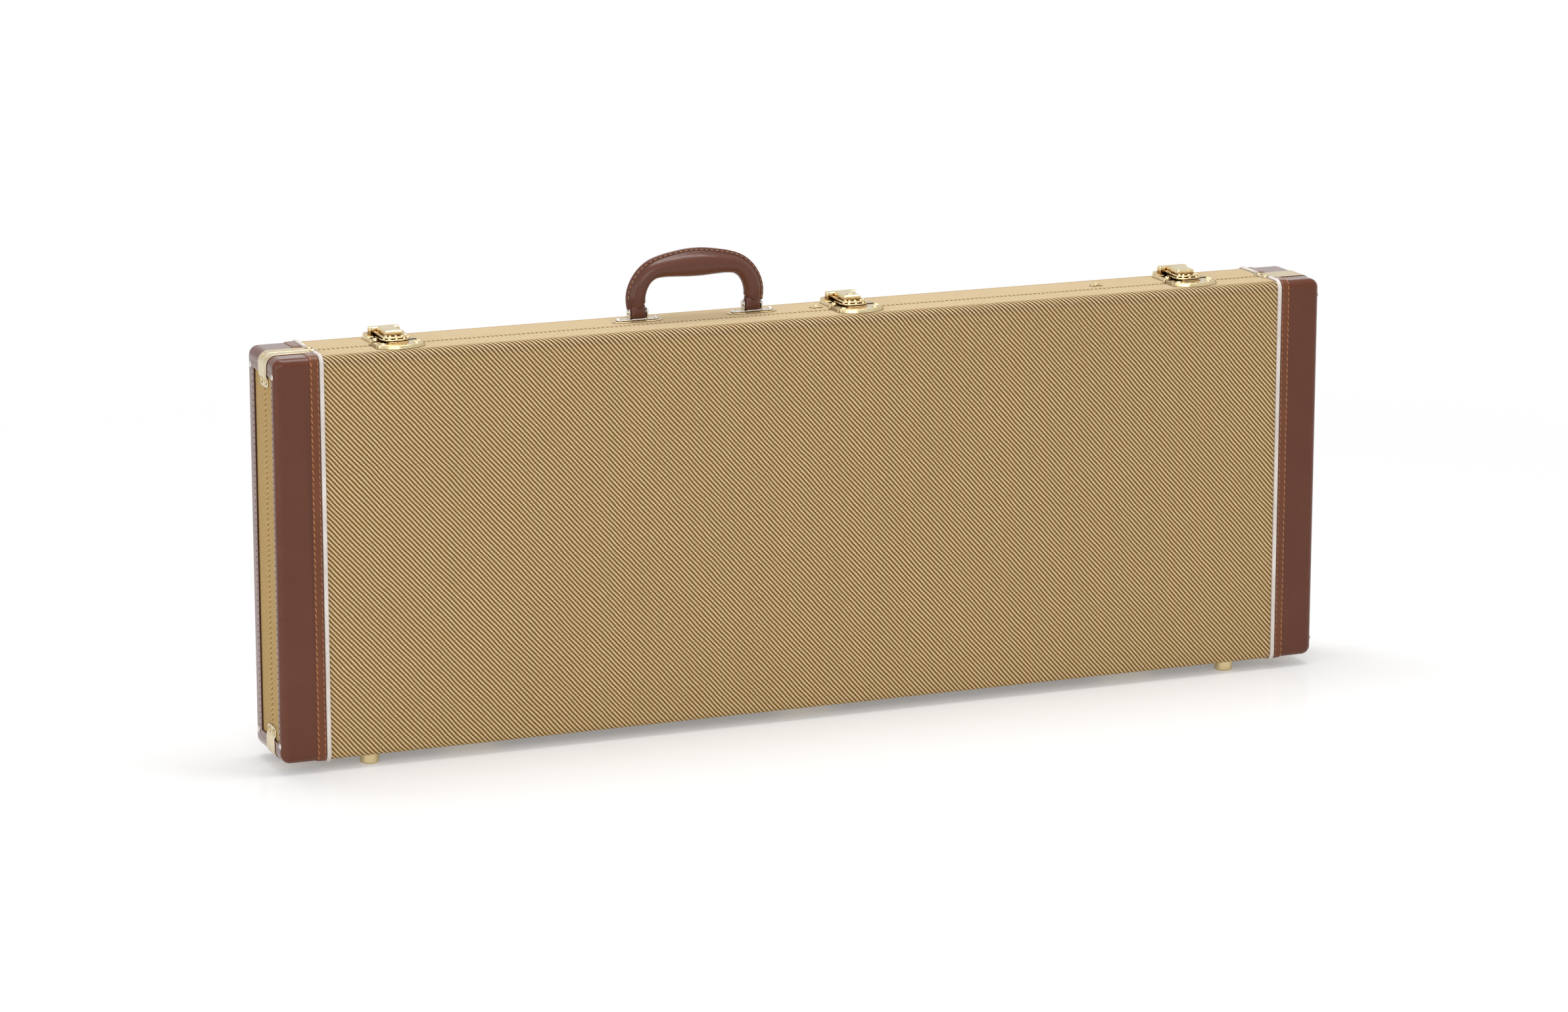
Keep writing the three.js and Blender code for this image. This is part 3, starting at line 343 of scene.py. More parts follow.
def tweed_material():
    """A two-over-two twill of light weft and dark warp yarns, drawn in millimetres along the cloth."""
    g = Graph("tweed")
    cloth = g.add("ShaderNodeUVMap", uv_map="weave").outputs[0]
    split = g.add("ShaderNodeSeparateXYZ")
    g.feed(split.inputs[0], cloth)
    across, along = split.outputs[0], split.outputs[1]
    waver = g.math("MULTIPLY", g.math("SUBTRACT", g.noise(cloth, 0.035, 2), 0.5), 1.1)
    ends = g.math("ADD", g.math("ADD", g.math("MULTIPLY", across, 0.902),
                                g.math("MULTIPLY", along, -0.057)), waver)
    picks = g.math("ADD", g.math("ADD", g.math("MULTIPLY", across, 0.014),
                                 g.math("MULTIPLY", along, 0.881)), waver)
    end, pick = g.math("FLOOR", ends), g.math("FLOOR", picks)
    end_share, pick_share = g.math("FRACT", ends), g.math("FRACT", picks)
    step = g.math("FLOORED_MODULO", g.math("ADD", end, pick), 4.0)
    weft = g.math("LESS_THAN", step, 1.5)

    def off_middle(share):
        return g.math("ABSOLUTE", g.math("SUBTRACT", g.math("MULTIPLY", share, 2.0), 1.0))

    def roundness(run, width):
        """0 in a float's middle and 1 at its rounded outline."""
        return g.math("ADD", g.math("POWER", off_middle(run), 2.6), g.math("POWER", off_middle(width), 2.4))

    weft_run = g.math("MULTIPLY", g.math("ADD", step, end_share), 0.5)
    lean = g.math("MULTIPLY", g.math("SUBTRACT", weft_run, 0.5), -0.3)
    weft_edge = roundness(weft_run, g.math("ADD", pick_share, lean))
    warp_run = g.math("MULTIPLY", g.math("ADD", g.math("SUBTRACT", step, 2.0), pick_share), 0.5)
    warp_edge = roundness(warp_run, end_share)
    shown = g.math("MULTIPLY", weft, g.level(weft_edge, 1.4, 2.0, 1.0, 0.0))
    height = g.math("ADD", g.math("MULTIPLY", shown, g.level(weft_edge, 0.0, 1.3, 1.0, 0.45)),
                    g.math("MULTIPLY", g.math("SUBTRACT", 1.0, weft), g.level(warp_edge, 0.0, 1.3, 0.5, 0.1)))
    fibres = g.noise(cloth, 7.0, 3, 0.7)
    cell = g.random(g.math("ADD", g.math("MULTIPLY", end, 7.31), g.math("MULTIPLY", pick, 3.17)))
    light = g.mix(cell, tint(240, 218, 182), tint(226, 199, 156))
    # Painted shade: each light float is darkened where it rounds down at its outline.
    light = g.mix(g.level(weft_edge, 0.1, 1.5, 0.0, 0.8), light, tint(190, 152, 98))
    dark = g.mix(g.random(g.math("ADD", end, 0.37)), tint(118, 90, 12), tint(128, 82, 20))
    dark = g.mix(g.math("MULTIPLY", cell, 0.5), dark, tint(124, 90, 24))
    # Painted shade: each dark float is darkened where it rounds down at its outline.
    dark = g.mix(g.level(warp_edge, 0.2, 1.1, 0.0, 0.8), dark, tint(84, 56, 12))
    # Painted shade: the dark yarns are darkened over the rounded edge below the flat top and just under it.
    bend = g.math("MULTIPLY", g.level(along, TOP_RUN - 15, TOP_RUN - 9),
                  g.level(along, TOP_RUN - 4, TOP_RUN, 1.0, 0.0))
    dark = g.mix(g.math("MULTIPLY", bend, 0.7), dark, tint(74, 48, 16))
    yarn = g.mix(shown, dark, light)
    # Painted light: cloth in the groove at the ends is evened towards a mid tan, lifting its dark yarns out of
    # the groove's shade.
    yarn = g.mix(g.math("MULTIPLY", g.attribute("painted_groove_light"), 0.55), yarn, tint(192, 157, 92))
    seam = g.level(g.math("ABSOLUTE", g.math("SUBTRACT", along, TOP_RUN + SEAM - FRONT - EDGE_RADIUS)),
                   1.5, 4.0, 0.1, 1.0)
    # Painted sheen: the flat top, away from the seam, is lightened towards a pale tan as grazing light over it
    # would show it.
    top = g.math("MULTIPLY", g.level(along, TOP_RUN - 1, TOP_RUN + 3),
                 g.level(along, TOP_RUN + 66, TOP_RUN + 72, 1.0, 0.0))
    painted_top_sheen = g.mix(g.math("MULTIPLY", g.math("MULTIPLY", top, seam), 0.68), yarn, tint(226, 206, 170))
    soft = g.mix(g.level(g.noise(cloth, 0.012, 3), 0.3, 0.7, 0.0, 0.08), painted_top_sheen, tint(150, 124, 76))
    # Darker where the yarns lie low, as painted shade between them, times a random tone of the fibres.
    depth = g.math("MULTIPLY", g.level(height, 0.0, 0.6, 0.8, 1.0),
                   g.level(fibres, 0.3, 0.7, 0.92, 1.06))
    shaded = g.mix(1.0, soft, depth, "MULTIPLY")
    g.set(Base_Color=shaded, Roughness=g.level(fibres, 0.3, 0.7, 0.78, 0.95),
          Specular_IOR_Level=0.15, Sheen_Weight=0.4, Sheen_Roughness=0.3,
          Sheen_Tint=tint(255, 222, 160),
          Normal=g.bump(g.math("ADD", height, g.math("MULTIPLY", fibres, 0.2)), 0.0004))
    return g.material


def leather_material(name, base, low, high, worn, gloss=0.42, grain=0.00006):
    """Smooth finished leather: fine pebbled grain, clouded dye, soft rubbed edges and painted shade along
    creases and joins.
    """
    g = Graph(name)
    place = g.place()
    pebbles = g.cells(place, 1150)
    pores = g.noise(place, 2600, 2, 0.6)
    clouds = g.noise(place, 14, 4, 0.6)
    mottle = g.noise(place, 260, 3, 0.6)
    colour = g.mix(g.level(clouds, 0.35, 0.65), low, high)
    colour = g.mix(g.level(mottle, 0.3, 0.7, 0.0, 0.4), colour, base)
    colour = g.mix(g.level(pebbles, 0.1, 0.7, 0.0, 0.22), colour, low)
    rub = g.math("MULTIPLY", g.attribute("edge"), g.level(g.noise(place, 90, 4, 0.7), 0.3, 0.7))
    colour = g.mix(g.math("MULTIPLY", rub, 0.5), colour, worn)
    # Painted shade: dark along the creases, fold edges and joins that the crease attribute marks.
    crease = g.attribute("crease")
    colour = g.mix(g.math("MULTIPLY", crease, 0.75), colour, tint(46, 24, 18))
    height = g.math("ADD", g.math("MULTIPLY", pebbles, 0.7), g.math("MULTIPLY", pores, 0.3))
    fine = g.bump(height, grain)
    wavy = g.bump(g.noise(place, 38, 2, 0.5), 0.0006, fine)
    g.set(Base_Color=colour, Normal=wavy, Specular_IOR_Level=0.34, Sheen_Weight=0.1,
          Sheen_Roughness=0.3, Sheen_Tint=tint(250, 206, 214), Coat_Roughness=0.22,
          Coat_Weight=g.level(g.add("ShaderNodeLayerWeight").outputs["Facing"], 0.62, 0.8, 0.0, 0.75),
          Roughness=g.math("ADD", g.level(mottle, 0.3, 0.7, gloss - 0.04, gloss + 0.07),
                           g.math("MULTIPLY", rub, 0.1)))
    return g.material


def thread_material(name, light, dark):
    g = Graph(name)
    place = g.place()
    twist = g.noise(g.stretched((900, 900, 2600)), 1.0, 2)
    colour = g.mix(g.level(twist, 0.35, 0.65), dark, light)
    colour = g.mix(g.level(g.noise(place, 60, 2), 0.35, 0.65, 0.0, 0.35), colour, dark)
    g.set(Base_Color=colour, Roughness=g.level(twist, 0.3, 0.7, 0.55, 0.8),
          Sheen_Weight=0.2, Normal=g.bump(twist, 0.0001))
    return g.material


def piping_material():
    """Greyish white coated cord, a little soiled in patches, with painted shade along its sides."""
    g = Graph("piping")
    place = g.place()
    grain = g.noise(place, 1500, 3, 0.6)
    clouds = g.noise(place, 22, 4, 0.65)
    colour = g.mix(g.level(clouds, 0.35, 0.7), tint(222, 214, 208), tint(200, 190, 181))
    colour = g.mix(g.level(g.noise(place, 420, 3, 0.7), 0.55, 0.8, 0.0, 0.35), colour,
                   tint(170, 156, 143))
    # Painted shade along the cord's sides.
    colour = g.mix(g.attribute("crease"), colour, tint(110, 92, 80))
    g.set(Base_Color=colour, Roughness=g.level(clouds, 0.3, 0.7, 0.42, 0.58),
          Normal=g.bump(grain, 0.00008))
    return g.material


def metal_material(name, clean, dull, low, high, brushed=(300, 300, 300), dents=0.00004, painted_hollow_shade=None):
    """Plated metal: brushed streaks, faint tarnish clouds, softly rubbed places and, where a shade colour is
    given, painted shade in its hollows.
    """
    g = Graph(name)
    place = g.place()
    streaks = g.noise(g.stretched(brushed), 1.0, 3, 0.6)
    clouds = g.noise(place, 55, 4, 0.6)
    spots = g.noise(place, 700, 3, 0.7)
    colour = g.mix(g.level(clouds, 0.4, 0.75, 0.0, 0.8), clean, dull)
    colour = g.mix(g.level(spots, 0.58, 0.75, 0.0, 0.3), colour, dull)
    if painted_hollow_shade:
        # Painted shade: darker where ambient occlusion finds hollows, such as between tiers, under the lever
        # and round screws.
        hollow = g.add("ShaderNodeAmbientOcclusion", samples=6)
        hollow.inputs["Distance"].default_value = 0.006
        colour = g.mix(g.level(hollow.outputs["AO"], 0.4, 0.92, 0.85, 0.0), colour, painted_hollow_shade)
    rough = g.math("ADD", g.level(streaks, 0.3, 0.7, low, high),
                   g.level(clouds, 0.4, 0.75, 0.0, 0.07))
    g.set(Base_Color=colour, Metallic=1.0, Roughness=rough,
          Normal=g.bump(g.math("ADD", streaks, g.math("MULTIPLY", clouds, 0.5)), dents))
    return g.material


def plush_material():
    """Short pile, with lighter and darker patches painted as the sheen of pile brushed one way or the other.
    """
    g = Graph("plush")
    place = g.place()
    pile = g.noise(place, 1900, 2, 0.7)
    tufts = g.cells(place, 900, "F1")
    strokes = g.noise(g.stretched((48, 48, 90)), 1.0, 3, 0.5)
    # Painted sheen: random patches lighter and darker, as brushed pile catches light.
    colour = g.mix(g.level(strokes, 0.3, 0.7), tint(134, 98, 44), tint(150, 112, 54))
    colour = g.mix(g.level(pile, 0.3, 0.7, 0.0, 0.5), colour, tint(104, 72, 28))
    colour = g.mix(g.level(tufts, 0.2, 0.8, 0.0, 0.3), colour, tint(182, 146, 84))
    height = g.math("ADD", pile, g.math("MULTIPLY", tufts, 0.6))
    g.set(Base_Color=colour, Roughness=g.level(pile, 0.3, 0.7, 0.85, 1.0),
          Specular_IOR_Level=0.2, Sheen_Weight=0.7, Sheen_Roughness=0.35,
          Sheen_Tint=tint(255, 226, 170), Normal=g.bump(height, 0.0007))
    return g.material


tweed = tweed_material()
leather = leather_material("leather", tint(92, 46, 26), tint(89, 43, 23), tint(95, 49, 29),
                           tint(116, 68, 48), 0.22)
grip_leather = leather_material("grip_leather", tint(92, 52, 38), tint(87, 48, 35),
                                tint(96, 55, 41), tint(108, 62, 52), 0.24)
binding_leather = leather_material("binding_leather", tint(105, 57, 27), tint(98, 51, 23),
                                   tint(111, 61, 30), tint(134, 82, 48), 0.3)
thread = thread_material("thread", tint(212, 146, 86), tint(176, 108, 58))
pale_thread = thread_material("pale_thread", tint(196, 150, 100), tint(150, 104, 66))
faded_thread = thread_material("faded_thread", tint(190, 138, 104), tint(150, 100, 76))
fold_thread = thread_material("fold_thread", tint(134, 80, 46), tint(98, 54, 32))
piping_coat = piping_material()
strap_metal = metal_material("strap_brass", tint(226, 212, 182), tint(206, 190, 158), 0.32, 0.44,
                             (2600, 120, 2600))
brass = metal_material("bright_brass", tint(240, 222, 178), tint(222, 198, 146), 0.12, 0.22,
                       painted_hollow_shade=tint(156, 112, 44))
foot_brass = metal_material("foot_brass", tint(226, 208, 164), tint(206, 184, 134), 0.36, 0.5,
                            (900, 900, 60))
dark_brass = metal_material("dark_brass", tint(150, 118, 60), tint(112, 84, 38), 0.25, 0.4)
nickel = metal_material("nickel", tint(224, 220, 212), tint(196, 188, 176), 0.14, 0.26)
plush = plush_material()


# Shells

def u_profile(side, start, inset=0, arc_steps=10, flat_steps=12):
    """Stations (y, z, normal y, normal z) round one half, from its top to its bottom."""
    face = FRONT if side < 0 else BACK
    radius = EDGE_RADIUS - inset
    line = face - side * EDGE_RADIUS
    stations = []
    for y in np.linspace(start, line, 4)[:-1]:
        stations.append((y, TOP - inset, 0, 1))
    for a in np.radians(np.linspace(90, 0, arc_steps + 1)):
        stations.append((line + side * radius * math.cos(a), TOP - EDGE_RADIUS + radius * math.sin(a),
                         side * math.cos(a), math.sin(a)))
    lower = [(y, BOTTOM + TOP - z, ny, -nz) for y, z, ny, nz in reversed(stations)]
    flat = [(face - side * inset, z, side, 0)
            for z in np.linspace(stations[-1][1], lower[0][1], flat_steps + 1)[1:-1]]
    return stations + flat + lower


def band(stations, section, wrap=True, ends=True):
    """A section of (x, height) points carried along the stations."""
    rings = [[(x, y + ny * h, z + nz * h) for x, h in section] for y, z, ny, nz in stations]
    return loft(rings, wrap, ends)


def seam_edge(side):
    return SEAM + side * SEAM_GAP


CLOTH_ROLL = 2.6


def cloth_run(side, y, z, normal):
    """The cloth's length upwards from the ground, which is z on the front face. It wraps over the top
    and down the back, and under the bottom."""
    depth = y - FRONT
    under = normal.z < -0.5 or (z < MIDDLE and (side < 0 or abs(y - seam_edge(side)) < CLOTH_ROLL))
    rise = z - BOTTOM if under else TOP - z
    bend = EDGE_RADIUS * math.pi / 2
    start = HALF_HEIGHT - EDGE_RADIUS + bend
    edge = seam_edge(side) - FRONT
    rolled = abs(depth - edge) < CLOTH_ROLL
    if rolled:
        turn = math.atan2(CLOTH_ROLL - abs(depth - edge), max(CLOTH_ROLL - rise, 0))
        fold = CLOTH_ROLL * turn + max(rise - CLOTH_ROLL, 0)
        run = start + edge + side * CLOTH_ROLL - EDGE_RADIUS - side * fold
    elif depth < EDGE_RADIUS and rise > EDGE_RADIUS:
        run = HALF_HEIGHT - rise
    elif depth < EDGE_RADIUS:
        run = start - bend + EDGE_RADIUS * math.atan2(EDGE_RADIUS - rise, EDGE_RADIUS - depth)
    elif depth < BACK - FRONT - EDGE_RADIUS:
        run = start + depth - EDGE_RADIUS
    else:
        flat = BACK - FRONT - 2 * EDGE_RADIUS
        turn = math.atan2(depth - flat - EDGE_RADIUS, max(EDGE_RADIUS - rise, 0))
        run = start + flat + EDGE_RADIUS * turn + max(rise - EDGE_RADIUS, 0)
    return MIDDLE - run if under else MIDDLE + run


def case_ring(inset, y, steps=8):
    outline = rounded_rectangle(2 * (HALF_LENGTH - inset), 2 * (HALF_HEIGHT - inset),
                                max(CORNER_RADIUS - inset, 3), steps)
    return [(x, y, MIDDLE + z) for x, z in outline]


def make_shell(half):
    side = SIDES[half]
    edge = seam_edge(side)
    face = (FRONT if side < 0 else BACK) - side * SEAT
    rounding = EDGE_RADIUS - SEAT
    levels = []
    for a in np.radians(np.linspace(0, 90, 7)):
        levels.append((SEAT + rounding * (1 - math.sin(a)), face - side * rounding * (1 - math.cos(a))))
    for a in np.radians(np.linspace(0, 90, 6)):
        levels.append((SEAT + CLOTH_ROLL * (1 - math.cos(a)), edge + side * CLOTH_ROLL * (1 - math.sin(a))))
    levels += [(WALL - 0.8, edge), (WALL - 0.2, edge + side * 0.2), (WALL, edge + side * 0.8),
               (WALL, edge + side * 3)]
    points, faces = loft([case_ring(inset, y) for inset, y in levels], ends=False)
    faces.append(tuple(range(len(case_ring(0, 0)))))
    tray = add_object(f"{half}_tray", (points, faces), tweed, half)

    def tray_cloth(point, normal):
        x, y, z = point
        if abs(normal.x) > 0.5 or abs(x) > HALF_LENGTH - WALL - 0.1:
            reach = y - FRONT
            depth = HALF_LENGTH - SEAT - abs(x)
            gap = abs(y - edge)
            if gap < CLOTH_ROLL:
                turn = math.atan2(CLOTH_ROLL - gap, max(CLOTH_ROLL - depth, 0))
                reach = edge + side * CLOTH_ROLL - FRONT + CLOTH_ROLL * turn + max(depth - CLOTH_ROLL, 0)
            return math.copysign(HALF_LENGTH + 4 + reach, x), z
        return x, cloth_run(side, y, z, normal)

    write_uv(tray, tray_cloth)
    # Marks the groove cloth at the ends, which gets painted light in the tweed.
    write_attribute(tray, "painted_groove_light", lambda point: 1.0 if abs(point.x) > HALF_LENGTH - CLOTH_ROLL else 0.0)

    profile = [(edge, TOP - 4.2, -side, 0), (edge, TOP - CLOTH_ROLL, -side, 0)]
    for a in np.radians(np.linspace(10, 80, 8)):
        profile.append((edge + side * CLOTH_ROLL * (1 - math.cos(a)),
                        TOP - CLOTH_ROLL * (1 - math.sin(a)), -side * math.cos(a), math.sin(a)))
    lower = [(y, BOTTOM + TOP - z, ny, -nz) for y, z, ny, nz in reversed(profile)]
    stations = profile + u_profile(side, edge + side * CLOTH_ROLL) + lower
    reach = PIPING_PLACE + 0.8
    section = [(-reach, -SEAT), (-reach, -0.3)]
    section += [(x, 0) for x in np.linspace(-reach + 0.5, reach - 0.5, 25)]
    section += [(reach, -0.3), (reach, -SEAT)]
    skin = add_object(f"{half}_tweed", band(stations, section, False, False), tweed, half,
                      [f"{half}_shell"])
    write_uv(skin, lambda point, normal: (
        point[0], cloth_run(side, point[1], point[2], normal)))

    floor_level = (FRONT if side < 0 else BACK) - side * WALL
    inner = [(WALL + 0.02, edge + side * 1), (WALL + 0.05, floor_level - side * 4)]
    for a in np.radians(np.linspace(15, 90, 6)):
        inner.append((WALL + 0.05 + 4 * (1 - math.cos(a)), floor_level - side * 4 * (1 - math.sin(a))))
    points, faces = loft([case_ring(inset, y) for inset, y in inner], ends=False)
    start = (len(inner) - 1) * len(case_ring(0, 0))
    faces.append(tuple(range(start, start + len(case_ring(0, 0)))))
    add_object(f"{half}_lining", (points, faces), plush, half)


# Leather ends

WINDOW_TOP = TOP - FOLD_HEIGHT
WINDOW_BOTTOM = BOTTOM + FOLD_HEIGHT


def stations_between(start, end, step):
    count = max(int(math.ceil(abs(end - start) / step)), 1)
    return list(np.linspace(start, end, count + 1))


def cap_path(sign, inset):
    """Points (x, z) round one end, from the inner edge at the top to that at the bottom."""
    turn = HALF_LENGTH - CORNER_RADIUS
    inner = HALF_LENGTH - CAP_LENGTH
    radius = CORNER_RADIUS - inset
    path = [(x, TOP - inset) for x in np.linspace(inner, turn, 5)[:-1]]
    path += arc((turn, TOP - CORNER_RADIUS), radius, 90, 0, 9)
    levels = [TOP - CORNER_RADIUS, WINDOW_TOP + 1.2, WINDOW_TOP + 0.5, WINDOW_TOP]
    levels += stations_between(WINDOW_TOP, WINDOW_BOTTOM, 30)[1:]
    levels += [WINDOW_BOTTOM - 0.5, WINDOW_BOTTOM - 1.2, BOTTOM + CORNER_RADIUS]
    path += [(HALF_LENGTH - inset, z) for z in levels[1:-1]]
    path += arc((turn, BOTTOM + CORNER_RADIUS), radius, 0, -90, 9)
    path += [(x, BOTTOM + inset) for x in np.linspace(turn, inner, 5)[1:]]
    return [(sign * x, z) for x, z in path]


def make_leather(half, end):
    side, sign = SIDES[half], ENDS[end]
    face = FRONT if side < 0 else BACK
    edge = seam_edge(side)
    window = face - side * FOLD_DEPTHS[side]
    levels = [(1.3, edge), (0.5, edge + side * 0.2), (0.12, edge + side * 0.65), (0, edge + side * 1.3),
              (0, window - side * 6), (0, window), (0, window + side * 0.5), (0, window + side * 1.2),
              (0, face - side * EDGE_RADIUS)]
    for a in np.radians(np.linspace(10, 90, 9)):
        levels.append((EDGE_RADIUS * (1 - math.cos(a)), face - side * EDGE_RADIUS * (1 - math.sin(a))))
    rings = [[(x, y, z) for x, z in cap_path(sign, inset)] for inset, y in levels]
    points, faces = loft(rings, wrap=False, ends=False)
    count = len(rings[0])
    opening = levels.index((0, window))
    kept = []
    for quad in faces:
        zs = [points[k][2] for k in quad]
        rows = [k // count for k in quad]
        ends_x = [abs(points[k][0]) > HALF_LENGTH - 1.4 for k in quad]
        inside = min(zs) >= WINDOW_BOTTOM - 0.01 and max(zs) <= WINDOW_TOP + 0.01
        if inside and max(rows) <= opening and all(ends_x):
            continue
        kept.append(quad)
    last = (len(rings) - 1) * count
    kept.append(tuple(range(last, last + count)))
    for k, (x, y, z) in enumerate(points):
        in_height = WINDOW_BOTTOM - 0.01 <= z <= WINDOW_TOP + 0.01
        row = k // count
        on_side = row == opening and in_height
        on_level = row < opening and min(abs(z - WINDOW_TOP), abs(z - WINDOW_BOTTOM)) < 0.01
        if abs(x) > HALF_LENGTH - 1.4 and (on_side or on_level):
            points[k][0] -= sign * 0.75
    piece = add_object(f"{half}_end_leather_{end}", (points, kept), leather, half,
                       [f"{half}_leather_{end}"], thick=1.4)

    def rubbed(point):
        gaps = sorted((abs(point.y - face), HALF_LENGTH - abs(point.x),
                       min(TOP - point.z, point.z - BOTTOM)))
        return max(0, 1 - (gaps[0] + gaps[1]) / 8)

    # Painted shade: marks the fold edges at the window, the cap's inner edge and the seam edge to be darkened.
    def painted_crease_shade(point):
        x, y, z = point
        if abs(x) < HALF_LENGTH - 0.3 and (abs(y - window) < 0.1 or y * side < window * side):
            if abs(x) > HALF_LENGTH - 1.4 and WINDOW_BOTTOM - 0.1 < z < WINDOW_TOP + 0.1:
                return 1
        if abs(abs(x) - (HALF_LENGTH - CAP_LENGTH)) < 0.2 or abs(y - edge) < 0.1:
            return 0.8
        return 0

    write_attribute(piece, "edge", rubbed)
    write_attribute(piece, "crease", painted_crease_shade)


def stitch_run(path, normals, pitch, length, radius=0.5, slant=0.0, sink=0.1, start=0.5):
    """Raised stitches along a path: each one is a short thread whose two tips dip into the leather."""
    path = np.array(path, float)
    normals = np.array(normals, float)
    steps = np.linalg.norm(np.diff(path, axis=0), axis=1)
    run = np.concatenate([[0], np.cumsum(steps)])
    shares = np.array([0.0, 0.12, 0.3, 0.5, 0.7, 0.88, 1.0])
    thickness = np.array([0.35, 0.8, 1.0, 0.96, 1.0, 0.8, 0.35])
    rise = np.array([-0.9, -0.1, 0.25, 0.32, 0.25, -0.1, -0.9])
    sides = 6
    shapes = []
    total = max(int((run[-1] - pitch * start) / pitch), 1)
    for index in range(total):
        begin = pitch * (start + index) - length / 2
        places = begin + length * shares
        if places[0] < 0 or places[-1] > run[-1]:
            continue
        centre = np.stack([np.interp(places, run, path[:, k]) for k in range(3)], 1)
        normal = np.stack([np.interp(places, run, normals[:, k]) for k in range(3)], 1)
        normal /= np.linalg.norm(normal, axis=1)[:, None]
        along = np.gradient(centre, axis=0)
        along /= np.linalg.norm(along, axis=1)[:, None]
        across = np.cross(normal, along)
        centre = centre + across * (shares - 0.5)[:, None] * slant * length
        centre = centre + normal * (rise * radius - sink)[:, None]
        rings = []
        for k in range(len(shares)):
            angles = np.linspace(0, 2 * math.pi, sides, endpoint=False)
            r = radius * thickness[k]
            rings.append(centre[k] + np.outer(np.cos(angles), across[k]) * r
                         + np.outer(np.sin(angles), normal[k]) * r * 0.8)
        shapes.append(loft(rings))
    return join(shapes)


def make_trim(half, end):
    side, sign = SIDES[half], ENDS[end]
    start = SEAM + side * STRAP_ZONE
    stations = u_profile(side, start)
    inner = sign * (HALF_LENGTH - CAP_LENGTH)
    outer = inner + sign * 8.7
    to_x = lambda share: inner + (outer - inner) * share
    section = [(to_x(0), 0.05), (to_x(0), 0.7), (to_x(0.03), 0.95), (to_x(0.08), 1.05), (to_x(0.16), 1.05),
               (to_x(0.2), 0.9), (to_x(0.24), 1.03), (to_x(0.5), 1.0), (to_x(0.78), 0.85),
               (to_x(0.845), 0.6), (to_x(0.9), 0.62), (to_x(0.96), 0.45), (to_x(1), 0.2), (to_x(1), 0.05)]
    strip = add_object(f"{half}_binding_strip_{end}", band(stations, section), binding_leather, half,
                       [f"{half}_binding_{end}"])
    # Painted shade: the strip's inner edge is darkened where it meets the piping.
    write_attribute(strip, "crease", lambda point: 1.0 if abs(point.x - inner) < 0.15 else 0.0)
    normals = [(0, ny, nz) for y, z, ny, nz in stations]
    for row, share, lift, slant, size, yarn in (("stitches", 0.86, 0.62, 0.3, 0.4, thread),
                                                ("seam", 0.16, 0.95, 0.2, 0.34, faded_thread)):
        path = [(to_x(share), y + ny * lift, z + nz * lift) for y, z, ny, nz in stations]
        add_object(f"{half}_binding_{row}_{end}",
                   stitch_run(path, normals, 5.85, 5.2, size, -slant * side), yarn, half)
    fold_x = sign * HALF_LENGTH
    high, low = WINDOW_TOP + 5.5, WINDOW_BOTTOM - 5.5
    turn = (FRONT if side < 0 else BACK) - side * (FOLD_DEPTHS[side] - (1.6 if side < 0 else 4.5))
    fold = [(fold_x, start, high), (fold_x, turn, high), (fold_x, turn, low), (fold_x, start, low)]
    add_object(f"{half}_fold_stitches_{end}",
               stitch_run(fold, [(sign, 0, 0)] * 4, 5.9, 2.6, 0.42), fold_thread, half)

    centre = sign * (PIPING_PLACE + 0.95)
    ring = []
    for a in np.linspace(0, 2 * math.pi, 28, endpoint=False):
        wide, tall = math.cos(a), math.sin(a)
        ring.append((centre + 2.15 * math.copysign(abs(wide) ** 0.7, wide),
                     -0.3 + 2.75 * math.copysign(abs(tall) ** 0.8, tall)))
    tube = add_object(f"{half}_piping_cord_{end}", band(stations, ring), piping_coat, half,
                      [f"{half}_piping_{end}"])
    # Painted shade: both sides of the cord, where it meets the binding and the leather.
    write_attribute(tube, "crease", lambda point: 0.7 if abs(point.x - centre) > 2.0 else 0.0)


# Straps over the corners, with their screws, and the nails

def strap_stations(rise_sign, end_sign):
    """Points (x, z), outward normal and length along a strap, from its tip on the flat."""
    turn = HALF_LENGTH - CORNER_RADIUS
    tip = HALF_LENGTH - 50.5
    level = TOP if rise_sign > 0 else BOTTOM
    found = []
    for x in stations_between(tip, turn, 2.5)[:-1]:
        found.append((x, level, 0, rise_sign, x - tip))
    flat = turn - tip
    centre = level - rise_sign * CORNER_RADIUS
    for a in np.radians(np.linspace(90, 0, 13)):
        found.append((turn + CORNER_RADIUS * math.cos(a), centre + rise_sign * CORNER_RADIUS * math.sin(a),
                      math.cos(a), rise_sign * math.sin(a), flat + CORNER_RADIUS * (math.pi / 2 - a)))
    bend = flat + CORNER_RADIUS * math.pi / 2
    for drop in stations_between(CORNER_RADIUS, 30, 1.5)[1:]:
        found.append((HALF_LENGTH, level - rise_sign * drop, 1, 0, bend + drop - CORNER_RADIUS))
    return [(end_sign * x, z, end_sign * nx, nz, run) for x, z, nx, nz, run in found], bend


def strap_sink(run, total):
    """How far a strap bends down from the leather to the cloth in the end's window."""
    share = min(1, max(0, (run - total + 30 - FOLD_HEIGHT - 0.5) / 4))
    return 1.55 * share * share * (3 - 2 * share)


